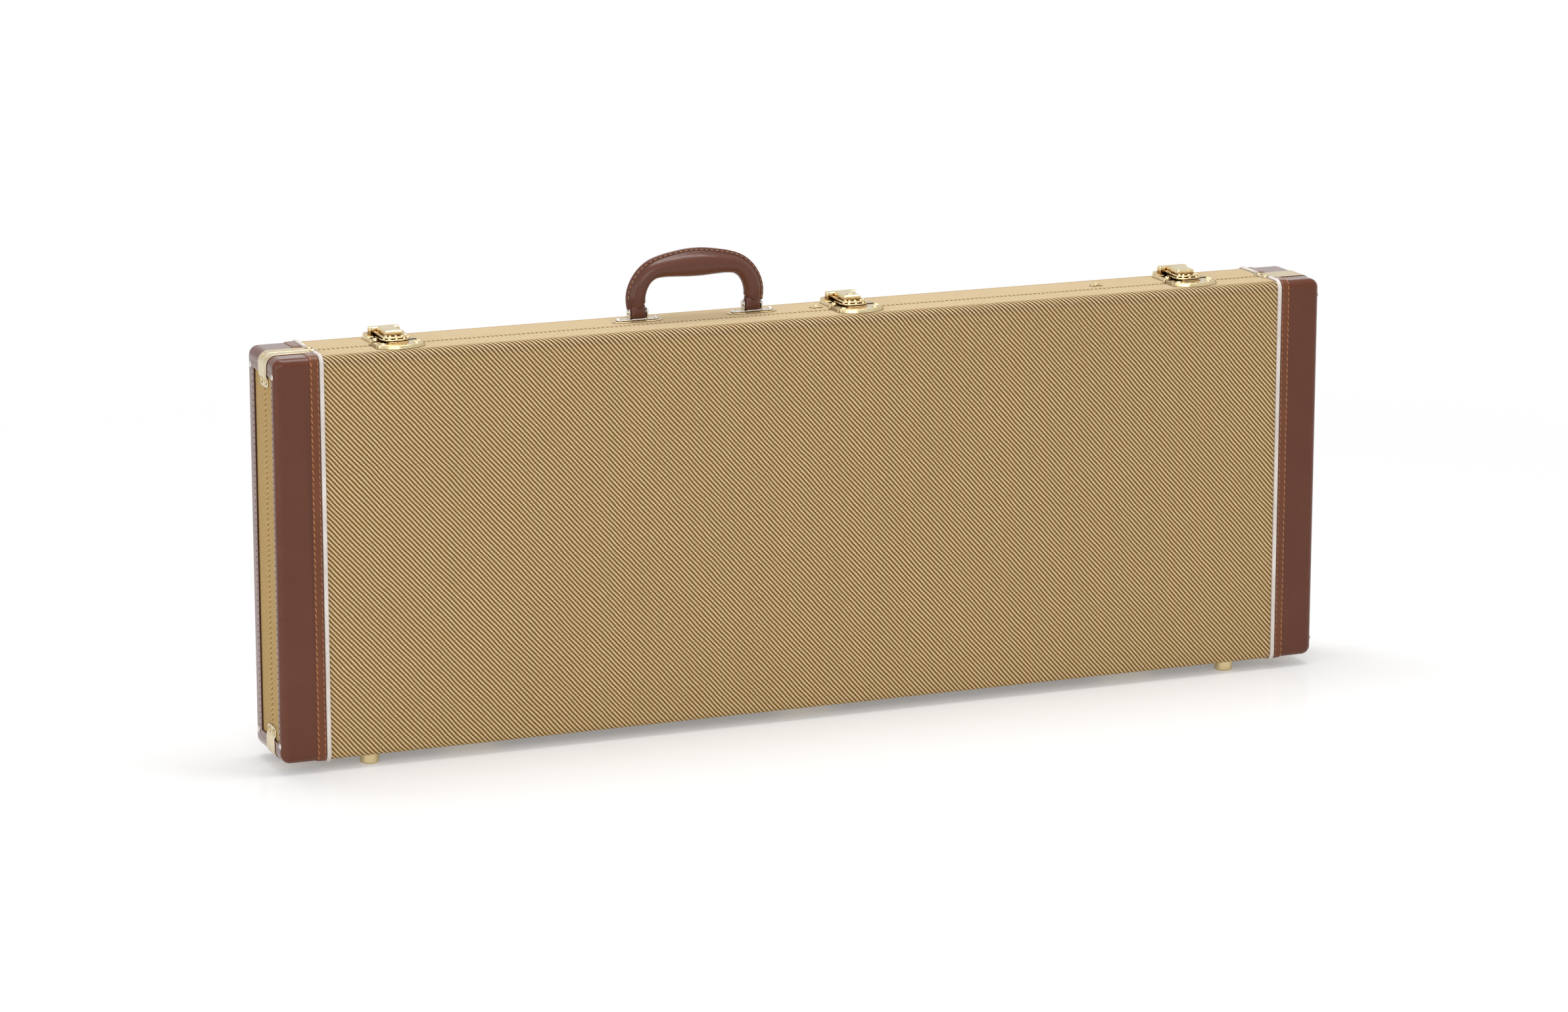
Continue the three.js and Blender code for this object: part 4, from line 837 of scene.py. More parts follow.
def make_strap(half, level, end):
    side, sign = SIDES[half], ENDS[end]
    rise = 1 if level == "top" else -1
    stations, bend = strap_stations(rise, sign)
    total = stations[-1][4]
    inner = seam_edge(side)
    rings = []
    for x, z, nx, nz, run in stations:
        gap = min(run, total - run)
        width = STRAP_HALF - SEAM_GAP - 3.4 * max(0, 1 - gap / 3.4) ** 2
        waist = 0.9 * math.exp(-((gap - 11.5) / 3) ** 2)
        crease = 0.3 * math.exp(-((run - bend + 7) / 1.2) ** 2)
        section = [(0, 0.1), (0, 0.55), (0.06, 0.72), (0.2, 0.8), (0.5, 0.82), (0.8, 0.8),
                   (0.93, 0.9), (0.98, 0.82), (1, 0.6), (1, 0.1)]
        ring = []
        for share, height in section:
            y = inner + side * (share * (width - waist))
            height = height - crease * (0.1 < share < 0.97) - strap_sink(run, total)
            ring.append((x + nx * height, y, z + nz * height))
        rings.append(ring)
    plate = add_object(f"{half}_strap_plate_{level}_{end}", loft(rings), strap_metal, half,
                       [f"{half}_strap_{level}_{end}"])
    cups, heads = [], []
    screws = [(5.6, 6.3, 2.5), (total - 5.6, 6.3, 2.5)]
    if level == "top":
        screws.append((bend - 7, 5.2, 1.5))
    for distance, offset, radius in screws:
        x, z, nx, nz, run = min(stations, key=lambda s: abs(s[4] - distance))
        lift = 0.75 - strap_sink(run, total)
        origin = np.array((x + nx * lift, SEAM + side * offset, z + nz * lift))
        up = (nx, 0, nz)
        if radius > 2:
            rim = [(0.1, -0.3), (radius + 1.15, -0.3), (radius + 1.15, 0.1), (radius + 0.95, 0.32),
                   (radius + 0.7, 0.34), (radius + 0.5, 0.2), (radius + 0.35, 0.05), (0.1, 0.04)]
            cups.append(placed(lathe(rim, 32), origin, up))
        heads.append(placed(head(radius, radius * 0.5, "cross" if radius > 2 else None),
                            origin + 0.1 * np.array(up), up, 0.5 + 1.7 * side + run))
    add_object(f"{half}_strap_cups_{level}_{end}", join(cups), dark_brass, half)
    add_object(f"{half}_strap_screws_{level}_{end}", join(heads), brass, half)
    return plate


def make_nails(half, end):
    side, sign = SIDES[half], ENDS[end]
    y = FRONT + 7 if side < 0 else BACK - 10
    nails = [placed(head(2.9, 1.15), (sign * HALF_LENGTH, y, z), (sign, 0, 0))
             for z in (BOTTOM + 16.5, TOP - 16.5)]
    add_object(f"{half}_nails_{end}", join(nails), nickel, half)


# Feet and hinges

def make_foot(half, end):
    side, sign = SIDES[half], ENDS[end]
    x, y = sign * 441.2, -24.5 if side < 0 else 17
    profile = [(0.3, 2.2), (3.4, 2.2), (3.7, 1.9), (4.2, 0.4), (4.8, 0.1), (7.4, 0.1), (8.2, 0.3),
               (8.7, 0.8), (8.95, 1.6), (9.0, 2.6), (9.0, 9.3), (8.8, 9.75), (0.3, 9.8)]
    screw = placed(head(2.6, 0.9, "cross"), (0, 0, 2.3), (0, 0, -1))
    add_object(f"{half}_foot_disc_{end}", placed(join([lathe(profile, 48), screw]),
                                                (x, y, 0)), foot_brass, half,
               [f"{half}_foot_{end}"])


def make_hinge(half, name, x):
    side = SIDES[half]
    axis = (SEAM, BOTTOM - 3)
    low, high = BOTTOM - 1.55, BOTTOM - 0.25
    third = 18
    if side < 0:
        notched = [(-27, -17), (27, -17), (27, -3.3), (9.1, -3.3), (9.1, -0.4), (-9.1, -0.4),
                   (-9.1, -3.3), (-27, -3.3)]
        knuckles = [(-9 + 0.15, 9 - 0.15)]
    else:
        notched = [(-27, 17), (-27, 0.4), (-9.1, 0.4), (-9.1, 3.3), (9.1, 3.3), (9.1, 0.4),
                   (27, 0.4), (27, 17)]
        knuckles = [(-27, -9 - 0.15), (9 + 0.15, 27)]
    shapes = [placed(prism(notched, low, high), (x, SEAM, 0))]
    for start, stop in knuckles:
        length = stop - start
        barrel = lathe([(0.2, 0), (2.3, 0), (2.6, 0.3), (2.6, length - 0.3), (2.3, length), (0.2, length)], 28)
        points, faces = along_x(barrel)
        shapes.append((points + np.array([x + start, axis[0], axis[1]]), faces))
    for place in (-16, 16):
        shapes.append(placed(head(2.6, 1.0, "cross"), (x + place, SEAM + side * 9.8, low), (0, 0, -1),
                             0.4 + place))
    if side > 0:
        pin = along_x(lathe([(0.2, 0), (1.2, 0), (1.3, 0.1), (1.3, 54.4), (1.2, 54.5), (0.2, 54.5)], 20))
        shapes.append((pin[0] + np.array([x - 27.25, axis[0], axis[1]]), pin[1]))
    add_object(f"{half}_hinge_{name}", join(shapes), brass, half, [f"{half}_hinge_leaf_{name}"],
               crisp=0.25)


for half in SIDES:
    make_shell(half)
    for end in ENDS:
        make_leather(half, end)
        make_trim(half, end)
        make_nails(half, end)
        make_foot(half, end)
        for level in ("top", "bottom"):
            make_strap(half, level, end)
    for name, x in (("left", -340), ("middle", 0), ("right", 340)):
        make_hinge(half, name, x)


# Handle with its brackets

def smooth_curve(values, count):
    """Points on a smooth curve through the given rows, evenly spread over its length."""
    rows = np.array(values, float)
    padded = np.vstack([2 * rows[0] - rows[1], rows, 2 * rows[-1] - rows[-2]])
    found = []
    for k in range(1, len(padded) - 2):
        before, start, stop, after = padded[k - 1:k + 3]
        for t in np.linspace(0, 1, 24, endpoint=k == len(padded) - 3):
            found.append(0.5 * (2 * start + (stop - before) * t
                                + (2 * before - 5 * start + 4 * stop - after) * t ** 2
                                + (3 * start - before - 3 * stop + after) * t ** 3))
    found = np.array(found)
    run = np.concatenate([[0], np.cumsum(np.linalg.norm(np.diff(found[:, :2], axis=0), axis=1))])
    places = np.linspace(0, run[-1], count)
    return np.stack([np.interp(places, run, found[:, k]) for k in range(found.shape[1])], 1)


# Half of the handle's line: place, height over the pivot, thickness in its plane, depth across.
HANDLE_STATIONS = [
    (57.6, 3.5, 15.6, 12.4), (57.8, 4.9, 15.8, 12.6), (58.9, 5.6, 18.6, 12.9), (59.1, 9.0, 19.2, 13.2),
    (59.1, 14.5, 19.5, 14.2), (57.9, 20.5, 19.4, 15.0), (54.8, 27.5, 19.0, 15.4), (49.8, 34.0, 18.8, 15.8),
    (42.0, 39.2, 19.6, 17.0), (31.5, 41.7, 21.8, 19.0), (20.0, 42.7, 24.4, 20.9), (9.0, 43.2, 26.5, 21.8),
    (0.0, 43.3, 27.0, 22.0),
]


def grip_ring(thickness, depth, fin=1.0):
    """A section as (outward, across): a round pad whose outer side carries the stitched fin."""
    half = thickness / 2
    root = half - 3.3 * fin
    edge = 2.0
    ring = [(half, -edge * 0.55), (half, edge * 0.55), (half - 0.35, edge * 0.95), (half - 1.0, edge * 1.08),
            (half - 2.3 * fin, edge * 1.1), (root + 0.4 * fin, edge * 1.16)]
    centre = (root - half) / 2
    along = (root + half) / 2
    begin = math.asin(min(1, edge * 1.5 / (depth / 2)))
    for a in np.linspace(begin, 2 * math.pi - begin, 25):
        fullness = 1 + 0.05 * math.sin(a) ** 2 * math.cos(a)
        ring.append((centre + along * math.cos(a) * fullness, depth / 2 * math.sin(a)))
    ring += [(out, -across) for out, across in reversed(ring[2:6])]
    return ring


def make_handle():
    half = HANDLE_STATIONS
    full = half + [(-x, z, t, d) for x, z, t, d in reversed(half[:-1])]
    line = smooth_curve(full, 97)
    origin = np.array([HANDLE_PLACE, HANDLE_LINE, TOP + PIVOT_RISE])
    rings, seam_path, seam_normals = [], {-1: [], 1: []}, {-1: [], 1: []}
    steps = np.gradient(line[:, :2], axis=0)
    for k, (x, z, thickness, depth) in enumerate(line):
        direction = steps[k] / np.linalg.norm(steps[k])
        outward = np.array([-direction[1], 0, direction[0]]) * -1
        centre = np.array([x, 0, z])
        if np.dot(outward, centre - np.array([0, 0, 12])) < 0:
            outward = -outward
        near_end = min(k, len(line) - 1 - k)
        fin = min(1.0, max(0.0, (near_end - 0.5) / 1.5))
        ring = grip_ring(thickness, depth, 0.25 + 0.75 * fin)
        rings.append([origin + centre + outward * out + np.array([0, across, 0]) for out, across in ring])
        if 1 < near_end:
            for side in (-1, 1):
                seam_path[side].append(origin + centre + outward * (thickness / 2 - 1.75)
                                       + np.array([0, side * 2.12, 0]))
                seam_normals[side].append((0, side, 0))
    grip = loft(rings)
    legs = []
    for sign in (-1, 1):
        sections = []
        for z, width, depth, radius in ((8.5, 11.0, 8.0, 3.9), (6.0, 14.8, 11.4, 5.5), (3.0, 15.6, 12.4, 6.1),
                                        (-1.0, 15.6, 12.6, 5.0), (-3.8, 15.4, 11.6, 3.6),
                                        (-5.4, 15.2, 8.6, 3.0), (-6.0, 14.6, 4.4, 2.1)):
            outline = rounded_rectangle(width, depth, radius, 5)
            sections.append([(HANDLE_PLACE + sign * 57.5 + x, HANDLE_LINE + y, TOP + PIVOT_RISE + z)
                             for x, y in outline])
        legs.append(loft(sections[::-1]))
    piece = add_object("handle_grip", join([grip] + legs), grip_leather, "handle", ["handle"])

    def finned(point):
        x, z = point.x - HANDLE_PLACE, point.z - TOP - PIVOT_RISE
        gaps = np.hypot(line[:, 0] - x, line[:, 1] - z)
        near = line[int(np.argmin(gaps))]
        return near, float(gaps.min())

    def rubbed(point):
        near, gap = finned(point)
        return 0.6 if gap > near[2] / 2 - 0.5 and abs(point.y - HANDLE_LINE) < 2.4 else 0.1

    # Painted shade: marks the groove between the fin and the grip to be darkened.
    def painted_crease_shade(point):
        near, gap = finned(point)
        outer = gap < near[2] / 2 - 2.5 and gap > near[2] / 2 - 4.4
        return 0.5 if outer and abs(abs(point.y - HANDLE_LINE) - 2.4) < 0.5 else 0.0

    write_attribute(piece, "edge", rubbed)
    write_attribute(piece, "crease", painted_crease_shade)
    rows = [stitch_run(seam_path[side], seam_normals[side], 5.2, 3.9, 0.45) for side in (-1, 1)]
    add_object("handle_stitches", join(rows), pale_thread, "handle")


def make_bracket(end):
    place = HANDLE_PLACE + ENDS[end] * 57.5
    top = TOP + 2.7
    shapes = [placed(stacked(lambda inset: rounded_rectangle(42 - 2 * inset, 8.6 - 2 * inset, 2.9, 6),
                             [(0.25, -1.2), (0, -0.95), (0, -0.3), (0.12, -0.1), (0.35, 0)]),
                     (place, HANDLE_LINE, top))]
    for side in (-1, 1):
        outline = [(-4.3, top - 1.0), (4.3, top - 1.0)] + arc((0, TOP + PIVOT_RISE), 3.8, 0, 180, 16)
        near = place + side * 8.1
        levels = [(0.25, 0), (0, 0.25), (0, 0.95), (0.25, 1.2)]
        rings = []
        for inset, depth in levels:
            ring = []
            for y, z in outline:
                pull = np.array([y, z - TOP - PIVOT_RISE])
                pull = pull * (1 - inset / max(np.linalg.norm(pull), 1))
                ring.append((near + side * depth, HANDLE_LINE + pull[0], TOP + PIVOT_RISE + pull[1]))
            rings.append(ring if side > 0 else ring[::-1])
        shapes.append(loft(rings))
    shapes.append(placed(stacked(lambda inset: rounded_rectangle(15.6 - 2 * inset, 2.6 - 2 * inset, 0.9, 4),
                                 [(0, 0), (0, 0.5), (0.4, 0.8)]), (place, HANDLE_LINE - 5.1, top)))
    for side in (-1, 1):
        shapes.append(placed(head(2.7, 1.7, "cross"), (place + side * 19, HANDLE_LINE, top - 0.05),
                             spin=0.6 + side))
    add_object(f"handle_ears_{end}", join(shapes), nickel, "base", [f"handle_bracket_{end}"])
    rod = [(0.2, -10.4), (2.0, -10.4), (2.6, -10.1), (2.75, -9.8), (2.75, -9.55), (1.9, -9.5), (1.9, 9.5),
           (2.75, 9.55), (2.75, 9.8), (2.6, 10.1), (2.0, 10.4), (0.2, 10.4)]
    pin = along_x(lathe(rod, 28))
    add_object(f"handle_rivet_{end}", (pin[0] + np.array([place, HANDLE_LINE, TOP + PIVOT_RISE]), pin[1]),
               nickel, "base", [f"handle_pin_{end}"])

    def pointed(inset):
        tip, side, bend = 25.25 - 1.6 * inset, 6 - inset, 3.5
        rim = []
        for k in range(9):
            t = k / 8
            x = (1 - t) ** 2 * tip + 2 * t * (1 - t) * (tip - bend) + t ** 2 * (tip - 7)
            rim.append((x, 2 * t * (1 - t) * side + t ** 2 * side))
        right = rim + [(x, -y) for x, y in reversed(rim[1:])]
        upper = rim + [(-x, y) for x, y in reversed(rim)]
        lower = [(-x, -y) for x, y in rim[1:]] + [(x, -y) for x, y in reversed(rim[1:])]
        return upper + lower

    plate = stacked(pointed, [(0.1, 0.25), (0, 0.35), (0, 0.85), (0.25, 1.12), (0.8, 1.22), (1.3, 1.1)])
    add_object(f"handle_plate_{end}", placed(plate, (place, HANDLE_LINE, TOP)), brass, "base",
               [f"handle_escutcheon_{end}"])


# Latches

def half_round(width, straight, reach, inset=0, steps=22):
    """A finger plate's outline: straight sides from y = straight, with a round front at -reach."""
    half = width / 2 - inset
    front = -reach + inset
    points = [(half, straight), ]
    for a in np.linspace(0, math.pi, steps):
        x = half * math.copysign(abs(math.cos(a)) ** 0.75, math.cos(a))
        points.append((x, 1.2 + (front - 1.2) * math.sin(a) ** 0.85))
    points.append((-half, straight))
    return points[::-1]


def bead(radius):
    rows = [(radius * math.sin(a), radius * math.cos(a)) for a in np.radians(np.linspace(128, 2, 8))]
    return lathe([(0.05, rows[0][1])] + rows, 16)


def plate_outline(inset):
    half, edge, reach, side = 22.5 - inset, -0.2, 28 - inset, 19 - inset
    points = [(-half, edge), (half, edge)]
    for k in range(25):
        across = 1 - 2 * k / 24
        points.append((half * across, -side - (reach - side) * (1 - across ** 2)))
    return points


def housing_outline(inset):
    wide, narrow, far, radius = 22.3 - inset, 19.6 - inset, 39 - inset, 6
    right = [(wide, 0.2), (wide, 5.2 - inset), (wide - 0.5, 6.3 - inset), (narrow + 0.9, 6.8 - inset),
             (narrow, 7.8 - inset)] + arc((narrow - radius, far - radius), radius, 0, 90, 8)
    return right + [(-x, y) for x, y in reversed(right)]


def make_latch(name):
    place = np.array([LATCHES[name], SEAM, TOP])
    at = lambda shape: (np.asarray(shape[0], float) + place, shape[1])
    raised = [(-0.6, 0.25), (-0.6, 0.6), (-0.35, 1.0), (-0.12, 2.2), (0, 3.0), (0.14, 3.45), (0.42, 3.7),
              (0.85, 3.65), (1.2, 3.3), (1.5, 3.1)]
    parts = [stacked(plate_outline, raised)]
    for side in (-1, 1):
        parts.append(placed(head(2.8, 1.5, "cross"), (side * 16, -15.5, 3.1), spin=1 + side * 0.7))
    parts.append(placed(stacked(lambda inset: rounded_rectangle(19 - 2 * inset, 9 - 2 * inset, 1.2, 3),
                                [(0, 0), (0, 0.5), (0.3, 0.75)]), (0, -8.0, 3.1)))
    add_object(f"latch_lid_part_{name}", at(join(parts)), brass, "lid", [f"latch_plate_{name}"])

    shell = [(-0.5, 0.25), (-0.5, 0.6), (-0.3, 1.0), (-0.1, 2.2), (0, 3.0), (0.15, 3.4), (0.45, 3.6),
             (0.85, 3.5), (1.2, 3.3)]
    parts = [stacked(housing_outline, shell)]
    rings = []
    for y, height in ((21.5, 3.3), (23, 3.6), (25, 4.2), (28, 4.9), (31, 5.35), (34, 5.6), (36.5, 5.55),
                      (37.6, 5.2), (38.3, 4.6), (38.7, 3.6), (38.9, 2.4)):
        pull = max(0.0, y - 33) / 6
        half = 19.5 - 5.6 * (1 - math.sqrt(max(0.0, 1 - pull ** 2)))
        ring = [(-half, y, 1.6), (-half, y, height - 1.1)]
        ring += [(-half + 1.0 * (1 - math.cos(a)), y, height - 1.1 + 1.1 * math.sin(a))
                 for a in np.radians((30, 60, 90))]
        ring += [(-x, y, z) for x, y, z in reversed(ring)]
        rings.append(ring)
    parts.append(loft(rings))
    for side in (-1, 1):
        parts.append(placed(head(2.8, 1.5, "cross"), (side * 15.5, 10, 3.4), spin=0.3 - side * 0.8))
        ear = [(-3.9, 3.0), (3.9, 3.0)] + arc((0, 8), 3.7, 0, 180, 14)
        near = side * 12.65
        rings = []
        for inset, depth in ((0.3, 0), (0, 0.3), (0, 1.7), (0.3, 2.0)):
            size = (1 if side < 0 else 0.84) * (1 - inset / 4)
            ring = [(near + side * depth, 31 + y * size, 8 + (z - 8) * size)
                    for y, z in ear]
            rings.append(ring if side > 0 else ring[::-1])
        parts.append(loft(rings))
        parts.append(placed(head(1.9, 0.9), (side * 14.65, 31, 8), (side, 0, 0)))
    add_object(f"latch_base_part_{name}", at(join(parts)), brass, "base", [f"latch_housing_{name}"])

    body = f"lever_{name}"
    parts = []
    tiers = ((24, 7.6, 6.1, 7.6, 8.0), (27, 4.2, 4.15, 5.55, 10.4))
    for width, straight_z, low, high, reach in tiers:
        straight = 24.5 if width == 24 else 15
        levels = [(0.35, low), (0, low + 0.3), (0, high - 0.45), (0.3, high - 0.1), (0.75, high),
                  (1.1, high - 0.2), (1.5, high - 0.3)]
        parts.append(stacked(lambda inset: half_round(width, straight - inset, reach, inset), levels))
        row = half_round(width, straight, reach, 1.75, 60)
        front = [p for p in row if p[1] < -2.0]
        for share in np.linspace(0.06, 0.94, 5):
            x, y = front[int(share * (len(front) - 1))]
            parts.append(placed(bead(1.6), (x, y, high - 0.15)))
    strap = prism([(-11.6, 22), (11.6, 22), (11.6, 29), (-11.6, 29)], 6.4, 7.7)
    parts.append(strap)
    spiral = []
    for a in np.radians(np.linspace(0, 360, 37)[:-1]):
        spiral.append((31 + 3.55 * math.cos(a), 8 + 3.55 * math.sin(a)))
    levels = [(0.5, -12.4), (0.12, -12.3), (0, -12.0), (0, 12.0), (0.12, 12.3), (0.5, 12.4)]
    rings = [[(x, 31 + (y - 31) * (1 - inset / 3.55), 8 + (z - 8) * (1 - inset / 3.55)) for y, z in spiral]
             for inset, x in levels]
    parts.append(loft(rings))
    for side in (-1, 1):
        for k, y in enumerate((14, 17.5, 21)):
            parts.append(placed(bead(0.8), (side * 10.4, y, 7.5)))
    add_object(f"latch_lever_part_{name}", at(join(parts)), brass, body, [f"latch_lever_{name}"])

    def block_outline(inset):
        return [(x, 13.6 + y) for x, y in rounded_rectangle(17 - 2 * inset, 25.2 - 2 * inset, 0.8, 3)]

    levels = [(0, 7.65), (0, 10.5), (0.12, 10.85), (1.05, 11.85), (1.3, 12.0)]
    block = stacked(block_outline, levels)
    if name == "middle":
        points, faces = block
        collar = lathe([(3.45, -0.8), (3.45, 0.12), (3.7, 0.32), (4.3, 0.34), (4.6, 0.1), (4.6, -0.8)], 40)
        block = join([block, placed(collar, (0, 7, 12.0))])
    add_object(f"latch_top_{name}", at(block), brass, body, [f"latch_block_{name}"],
               crisp=0.12)


def make_plug():
    """The lock's turning face with its slot for the key."""
    rows = []
    count, rings = 48, 12
    for k in range(rings + 1):
        r = 3.15 * (1 - k / rings) if k < rings else 0.05
        row = []
        for a in np.linspace(0, 2 * math.pi, count, endpoint=False):
            x, y = r * math.cos(a), r * math.sin(a)
            z = 0.35 - 0.15 * (r / 3.15) ** 4
            slot = (abs(x) < 0.45 and -2.1 < y < 1.2) or math.hypot(x, y - 1.2) < 0.85
            row.append((x, y, z - 1.1 if slot else z))
        rows.append(row)
    foot = [(x, y, -1.5) for x, y, z in rows[0]]
    plug = placed(loft([foot] + rows), (LATCHES["middle"], SEAM + 7, TOP + 12))
    add_object("lock_face", plug, brass, "lock", ["lock_plug"])


def make_fitting(name, x):
    """A small oval plate with a domed rivet and two prongs towards the seam."""
    oval = lambda inset: rounded_rectangle(13 - 2 * inset, 6.4 - 2 * inset, 2.9 - inset, 7)
    parts = [stacked(oval, [(0.1, 0.25), (0, 0.4), (0, 1.0), (0.3, 1.25), (0.7, 1.3), (1.1, 1.15)])]
    parts.append(placed(head(2.3, 1.6), (0, 0, 1.15)))
    for side in (-1, 1):
        prong = stacked(lambda inset: rounded_rectangle(1.7 - 2 * inset, 4.2 - 2 * inset, 0.5, 3),
                        [(0, 0.25), (0, 0.9), (0.25, 1.15)])
        parts.append(placed(prong, (side * 3.25, -3.7, 0)))
        parts.append(placed(bead(0.7), (side * 3.25, -5.2, 0.9)))
    add_object(f"top_rivet_plate_{name}", placed(join(parts), (x, HANDLE_LINE, TOP)), brass, "base",
               [f"top_fitting_{name}"])


make_handle()
for end in ENDS:
    make_bracket(end)
for name in LATCHES:
    make_latch(name)
make_plug()
make_fitting("middle", 19.2)
make_fitting("right", 312.6)


# Padded inside

def soft_copy(node, name, voxel, body, rounds, material, puff=0.0, seed=0):
    """A padded piece in a solid's place: remeshed fine, with softened edges and an uneven surface."""
    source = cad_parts[node]
    mesh = source.data.copy()
    mesh.materials.clear()
    piece = bpy.data.objects.new(name, mesh)
    scene.collection.objects.link(piece)
    remesh = piece.modifiers.new("Remesh", "REMESH")
    remesh.mode = "VOXEL"
    remesh.voxel_size = voxel * MM
    graph = bpy.context.evaluated_depsgraph_get()
    made = bpy.data.meshes.new_from_object(piece.evaluated_get(graph))
    piece.modifiers.clear()
    piece.data = made
    made.name = name
    work = bmesh.new()
    work.from_mesh(made)
    low = np.array([v.co for v in work.verts]).min(0)
    high = np.array([v.co for v in work.verts]).max(0)
    for _ in range(rounds):
        bmesh.ops.smooth_vert(work, verts=work.verts, factor=0.5, use_axis_x=True, use_axis_y=True,
                              use_axis_z=True)
    work.normal_update()
    for vertex in work.verts:
        p = vertex.co / MM
        wave = (math.sin(p.x / 31 + seed) * math.sin(p.z / 27 + 1.3 * seed)
                + 0.6 * math.sin(p.x / 13.7 + p.z / 17.3 + seed) + 0.4 * math.sin(p.z / 9.1 - p.x / 11.9))
        vertex.co += vertex.normal * MM * (puff + 0.35 * wave)
        vertex.co = Vector(np.clip(np.array(vertex.co), low, high))
    work.to_mesh(made)
    work.free()
    made.materials.clear()
    made.materials.append(material)
    made.shade_smooth()
    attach(piece, body)
    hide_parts(node)
    return piece


soft_copy("guitar_bed", "bed_pad", 4, "base", 4, plush, 0.5, 1)
soft_copy("lid_pad", "lid_lining_pad", 4, "lid", 5, plush, 0.8, 2)
soft_copy("neck_rest", "neck_saddle", 2.5, "base", 5, plush, 0.8, 3)
soft_copy("compartment_flap", "flap_pad", 2, "flap", 3, plush, 0.4, 4)


def make_tab():
    """The flap's pull tab: a leather tongue with a stitched border and a rivet."""
    low, high = (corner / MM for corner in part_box("compartment_tab"))
    centre = (low + high) / 2
    width, height = high.x - low.x, high.z - low.z
    tongue = stacked(lambda inset: rounded_rectangle(width - 2 * inset, height - 2 * inset, 6 - inset, 8),
                     [(0.35, 0), (0, 0.35), (0, 1.2), (0.25, 1.5), (0.7, 1.6)])
    tab = add_object("pull_tab", placed(tongue, (centre.x, high.y, centre.z), (0, -1, 0)), grip_leather,
                     "flap", ["compartment_tab"])
    border = rounded_rectangle(width - 4, height - 4, 4, 8)
    border.append(border[0])
    path = [(centre.x + x, low.y + 0.05, centre.z + z) for x, z in border]
    add_object("pull_tab_stitches", stitch_run(path, [(0, -1, 0)] * len(path), 3.4, 2.5, 0.35),
               pale_thread, "flap")
    add_object("pull_tab_rivet", placed(head(2.6, 1.1), (centre.x, low.y, centre.z + 6), (0, -1, 0)),
               brass, "flap")


make_tab()


# Stage, light and camera

def make_stage():
    mesh = bpy.data.meshes.new("floor")
    mesh.from_pydata([(-14, -9, 0), (14, -9, 0), (14, 26, 0), (-14, 26, 0)], [], [(0, 1, 2, 3)])
    floor = bpy.data.objects.new("floor", mesh)
    floor.location.z = -0.0004
    scene.collection.objects.link(floor)
    g = Graph("floor")
    grain = g.noise(g.place(), 3.0, 2)
    g.set(Base_Color=g.mix(grain, tint(250, 250, 250), tint(252, 252, 252)), Roughness=0.5,
          Specular_IOR_Level=0.0)
    shine = g.add("ShaderNodeBsdfGlossy")
    shine.inputs["Roughness"].default_value = 0.03
    paper = g.add("ShaderNodeMixShader")
    paper.inputs[0].default_value = 0.08
    g.feed(paper.inputs[1], g.shader.outputs[0])
    g.feed(paper.inputs[2], shine.outputs[0])
    white = g.add("ShaderNodeEmission")
    reach = g.add("ShaderNodeVectorMath", operation="LENGTH")
    g.feed(reach.inputs[0], g.place())
    far = g.level(reach.outputs["Value"], 0.6, 1.7, 0.25, 1.0)
    path = g.add("ShaderNodeLightPath")
    seen = g.math("MINIMUM", g.math("ADD", path.outputs["Is Camera Ray"], path.outputs["Is Glossy Ray"]), 1.0)
    ground = g.add("ShaderNodeMixShader")
    g.feed(ground.inputs[0], g.math("MULTIPLY", far, seen))
    g.feed(ground.inputs[1], paper.outputs[0])
    g.feed(ground.inputs[2], white.outputs[0])
    g.feed(g.output.inputs["Surface"], ground.outputs[0])
    mesh.materials.append(g.material)


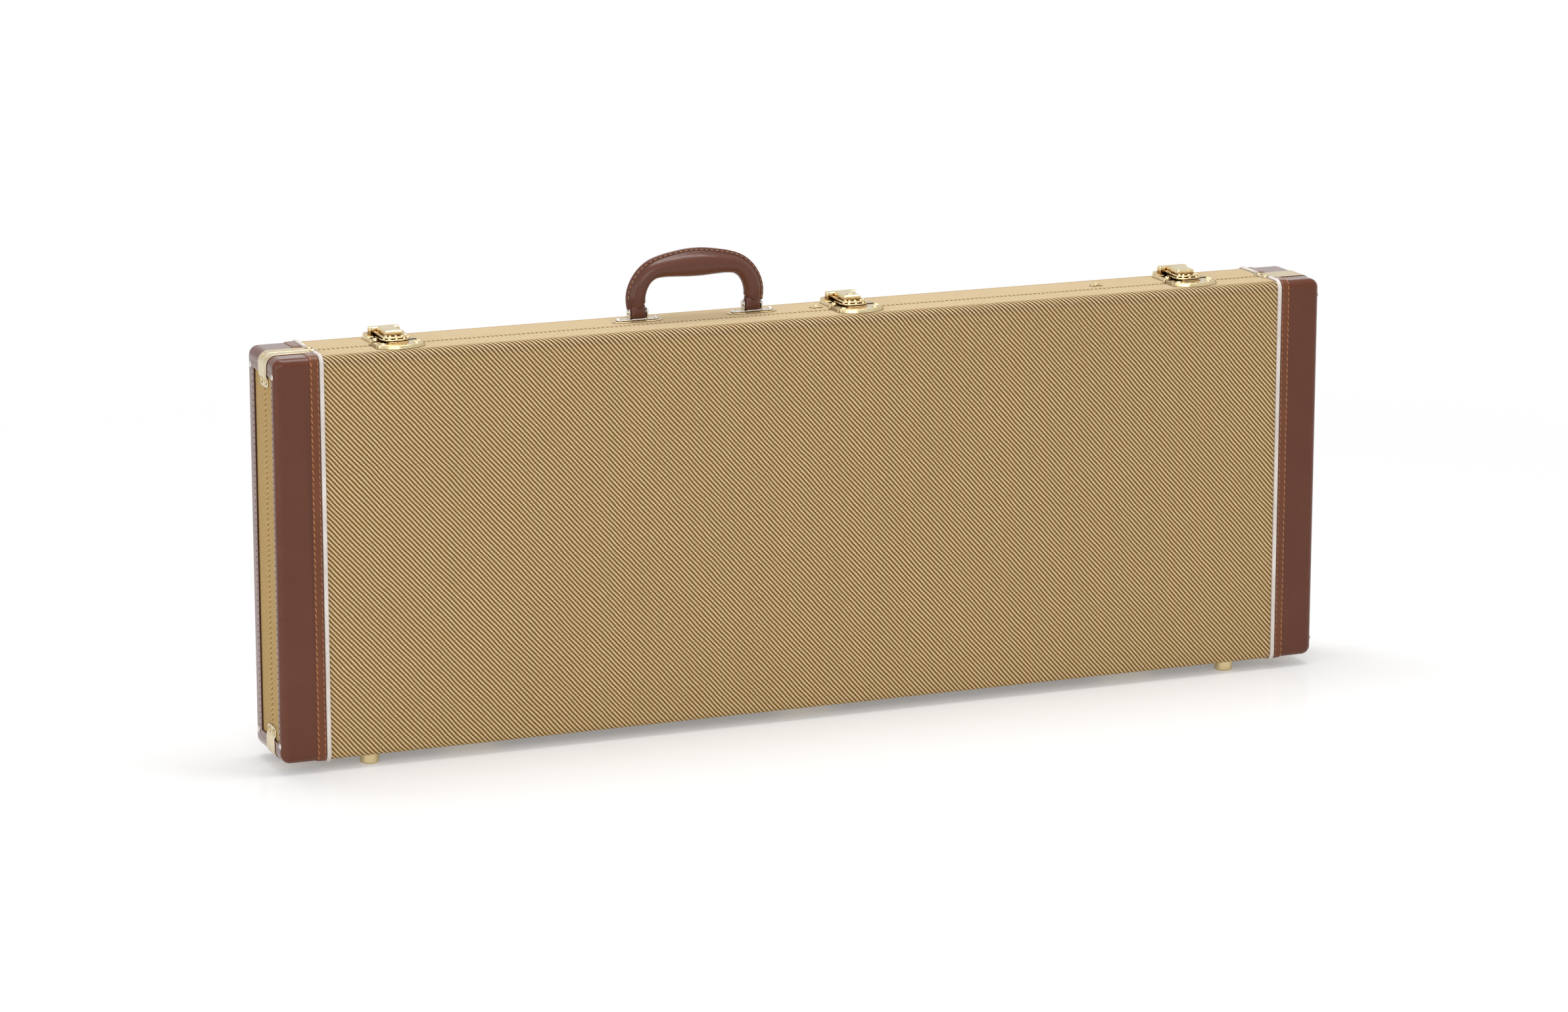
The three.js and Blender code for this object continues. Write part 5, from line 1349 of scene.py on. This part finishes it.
def make_world():
    world = bpy.data.worlds.new("studio")
    scene.world = world
    world.use_nodes = True
    tree = world.node_tree
    tree.nodes.clear()
    output = tree.nodes.new("ShaderNodeOutputWorld")
    ambient = tree.nodes.new("ShaderNodeBackground")
    ambient.inputs["Strength"].default_value = 0.82
    seen = tree.nodes.new("ShaderNodeBackground")
    seen.inputs["Strength"].default_value = 1.0
    blend = tree.nodes.new("ShaderNodeMixShader")
    path = tree.nodes.new("ShaderNodeLightPath")
    total = tree.nodes.new("ShaderNodeMath")
    total.operation = "ADD"
    every = tree.nodes.new("ShaderNodeMath")
    every.operation = "ADD"
    every.use_clamp = True
    for source, target in (
            (path.outputs["Is Camera Ray"], total.inputs[0]), (path.outputs["Is Glossy Ray"], total.inputs[1]),
            (total.outputs[0], every.inputs[0]), (path.outputs["Is Transmission Ray"], every.inputs[1]),
            (every.outputs[0], blend.inputs[0]), (ambient.outputs[0], blend.inputs[1]),
            (seen.outputs[0], blend.inputs[2]), (blend.outputs[0], output.inputs["Surface"])):
        tree.links.new(source, target)


def make_lamp(name, place, target, size, power):
    lamp = bpy.data.lights.new(name, "AREA")
    lamp.shape = "RECTANGLE"
    lamp.size, lamp.size_y = size
    lamp.energy = power
    holder = bpy.data.objects.new(name, lamp)
    holder.location = place
    holder.rotation_euler = (Vector(target) - Vector(place)).to_track_quat("-Z", "Y").to_euler()
    scene.collection.objects.link(holder)


def make_camera():
    camera = bpy.data.cameras.new("camera")
    camera.sensor_fit = "HORIZONTAL"
    camera.sensor_width = 36
    camera.lens = 7983.19 / 2385 * 36
    holder = bpy.data.objects.new("camera", camera)
    holder.location = (-1.862488, -4.492093, 1.326986)
    holder.rotation_euler = (math.pi / 2 - 0.228, 0, -0.3898)
    scene.collection.objects.link(holder)
    scene.camera = holder


make_stage()
make_world()
make_lamp("overhead", (0.1, 0.1, 2.6), (0, 0, 0.3), (2.6, 0.8), 40)
make_lamp("side", (-3.0, -1.3, 0.9), (-0.4, 0, 0.25), (0.5, 1.7), 14)
make_lamp("front", (-1.2, -3.2, 1.9), (0, 0, 0.2), (2.0, 1.6), 24)
make_camera()
scene.view_settings.view_transform = "Standard"
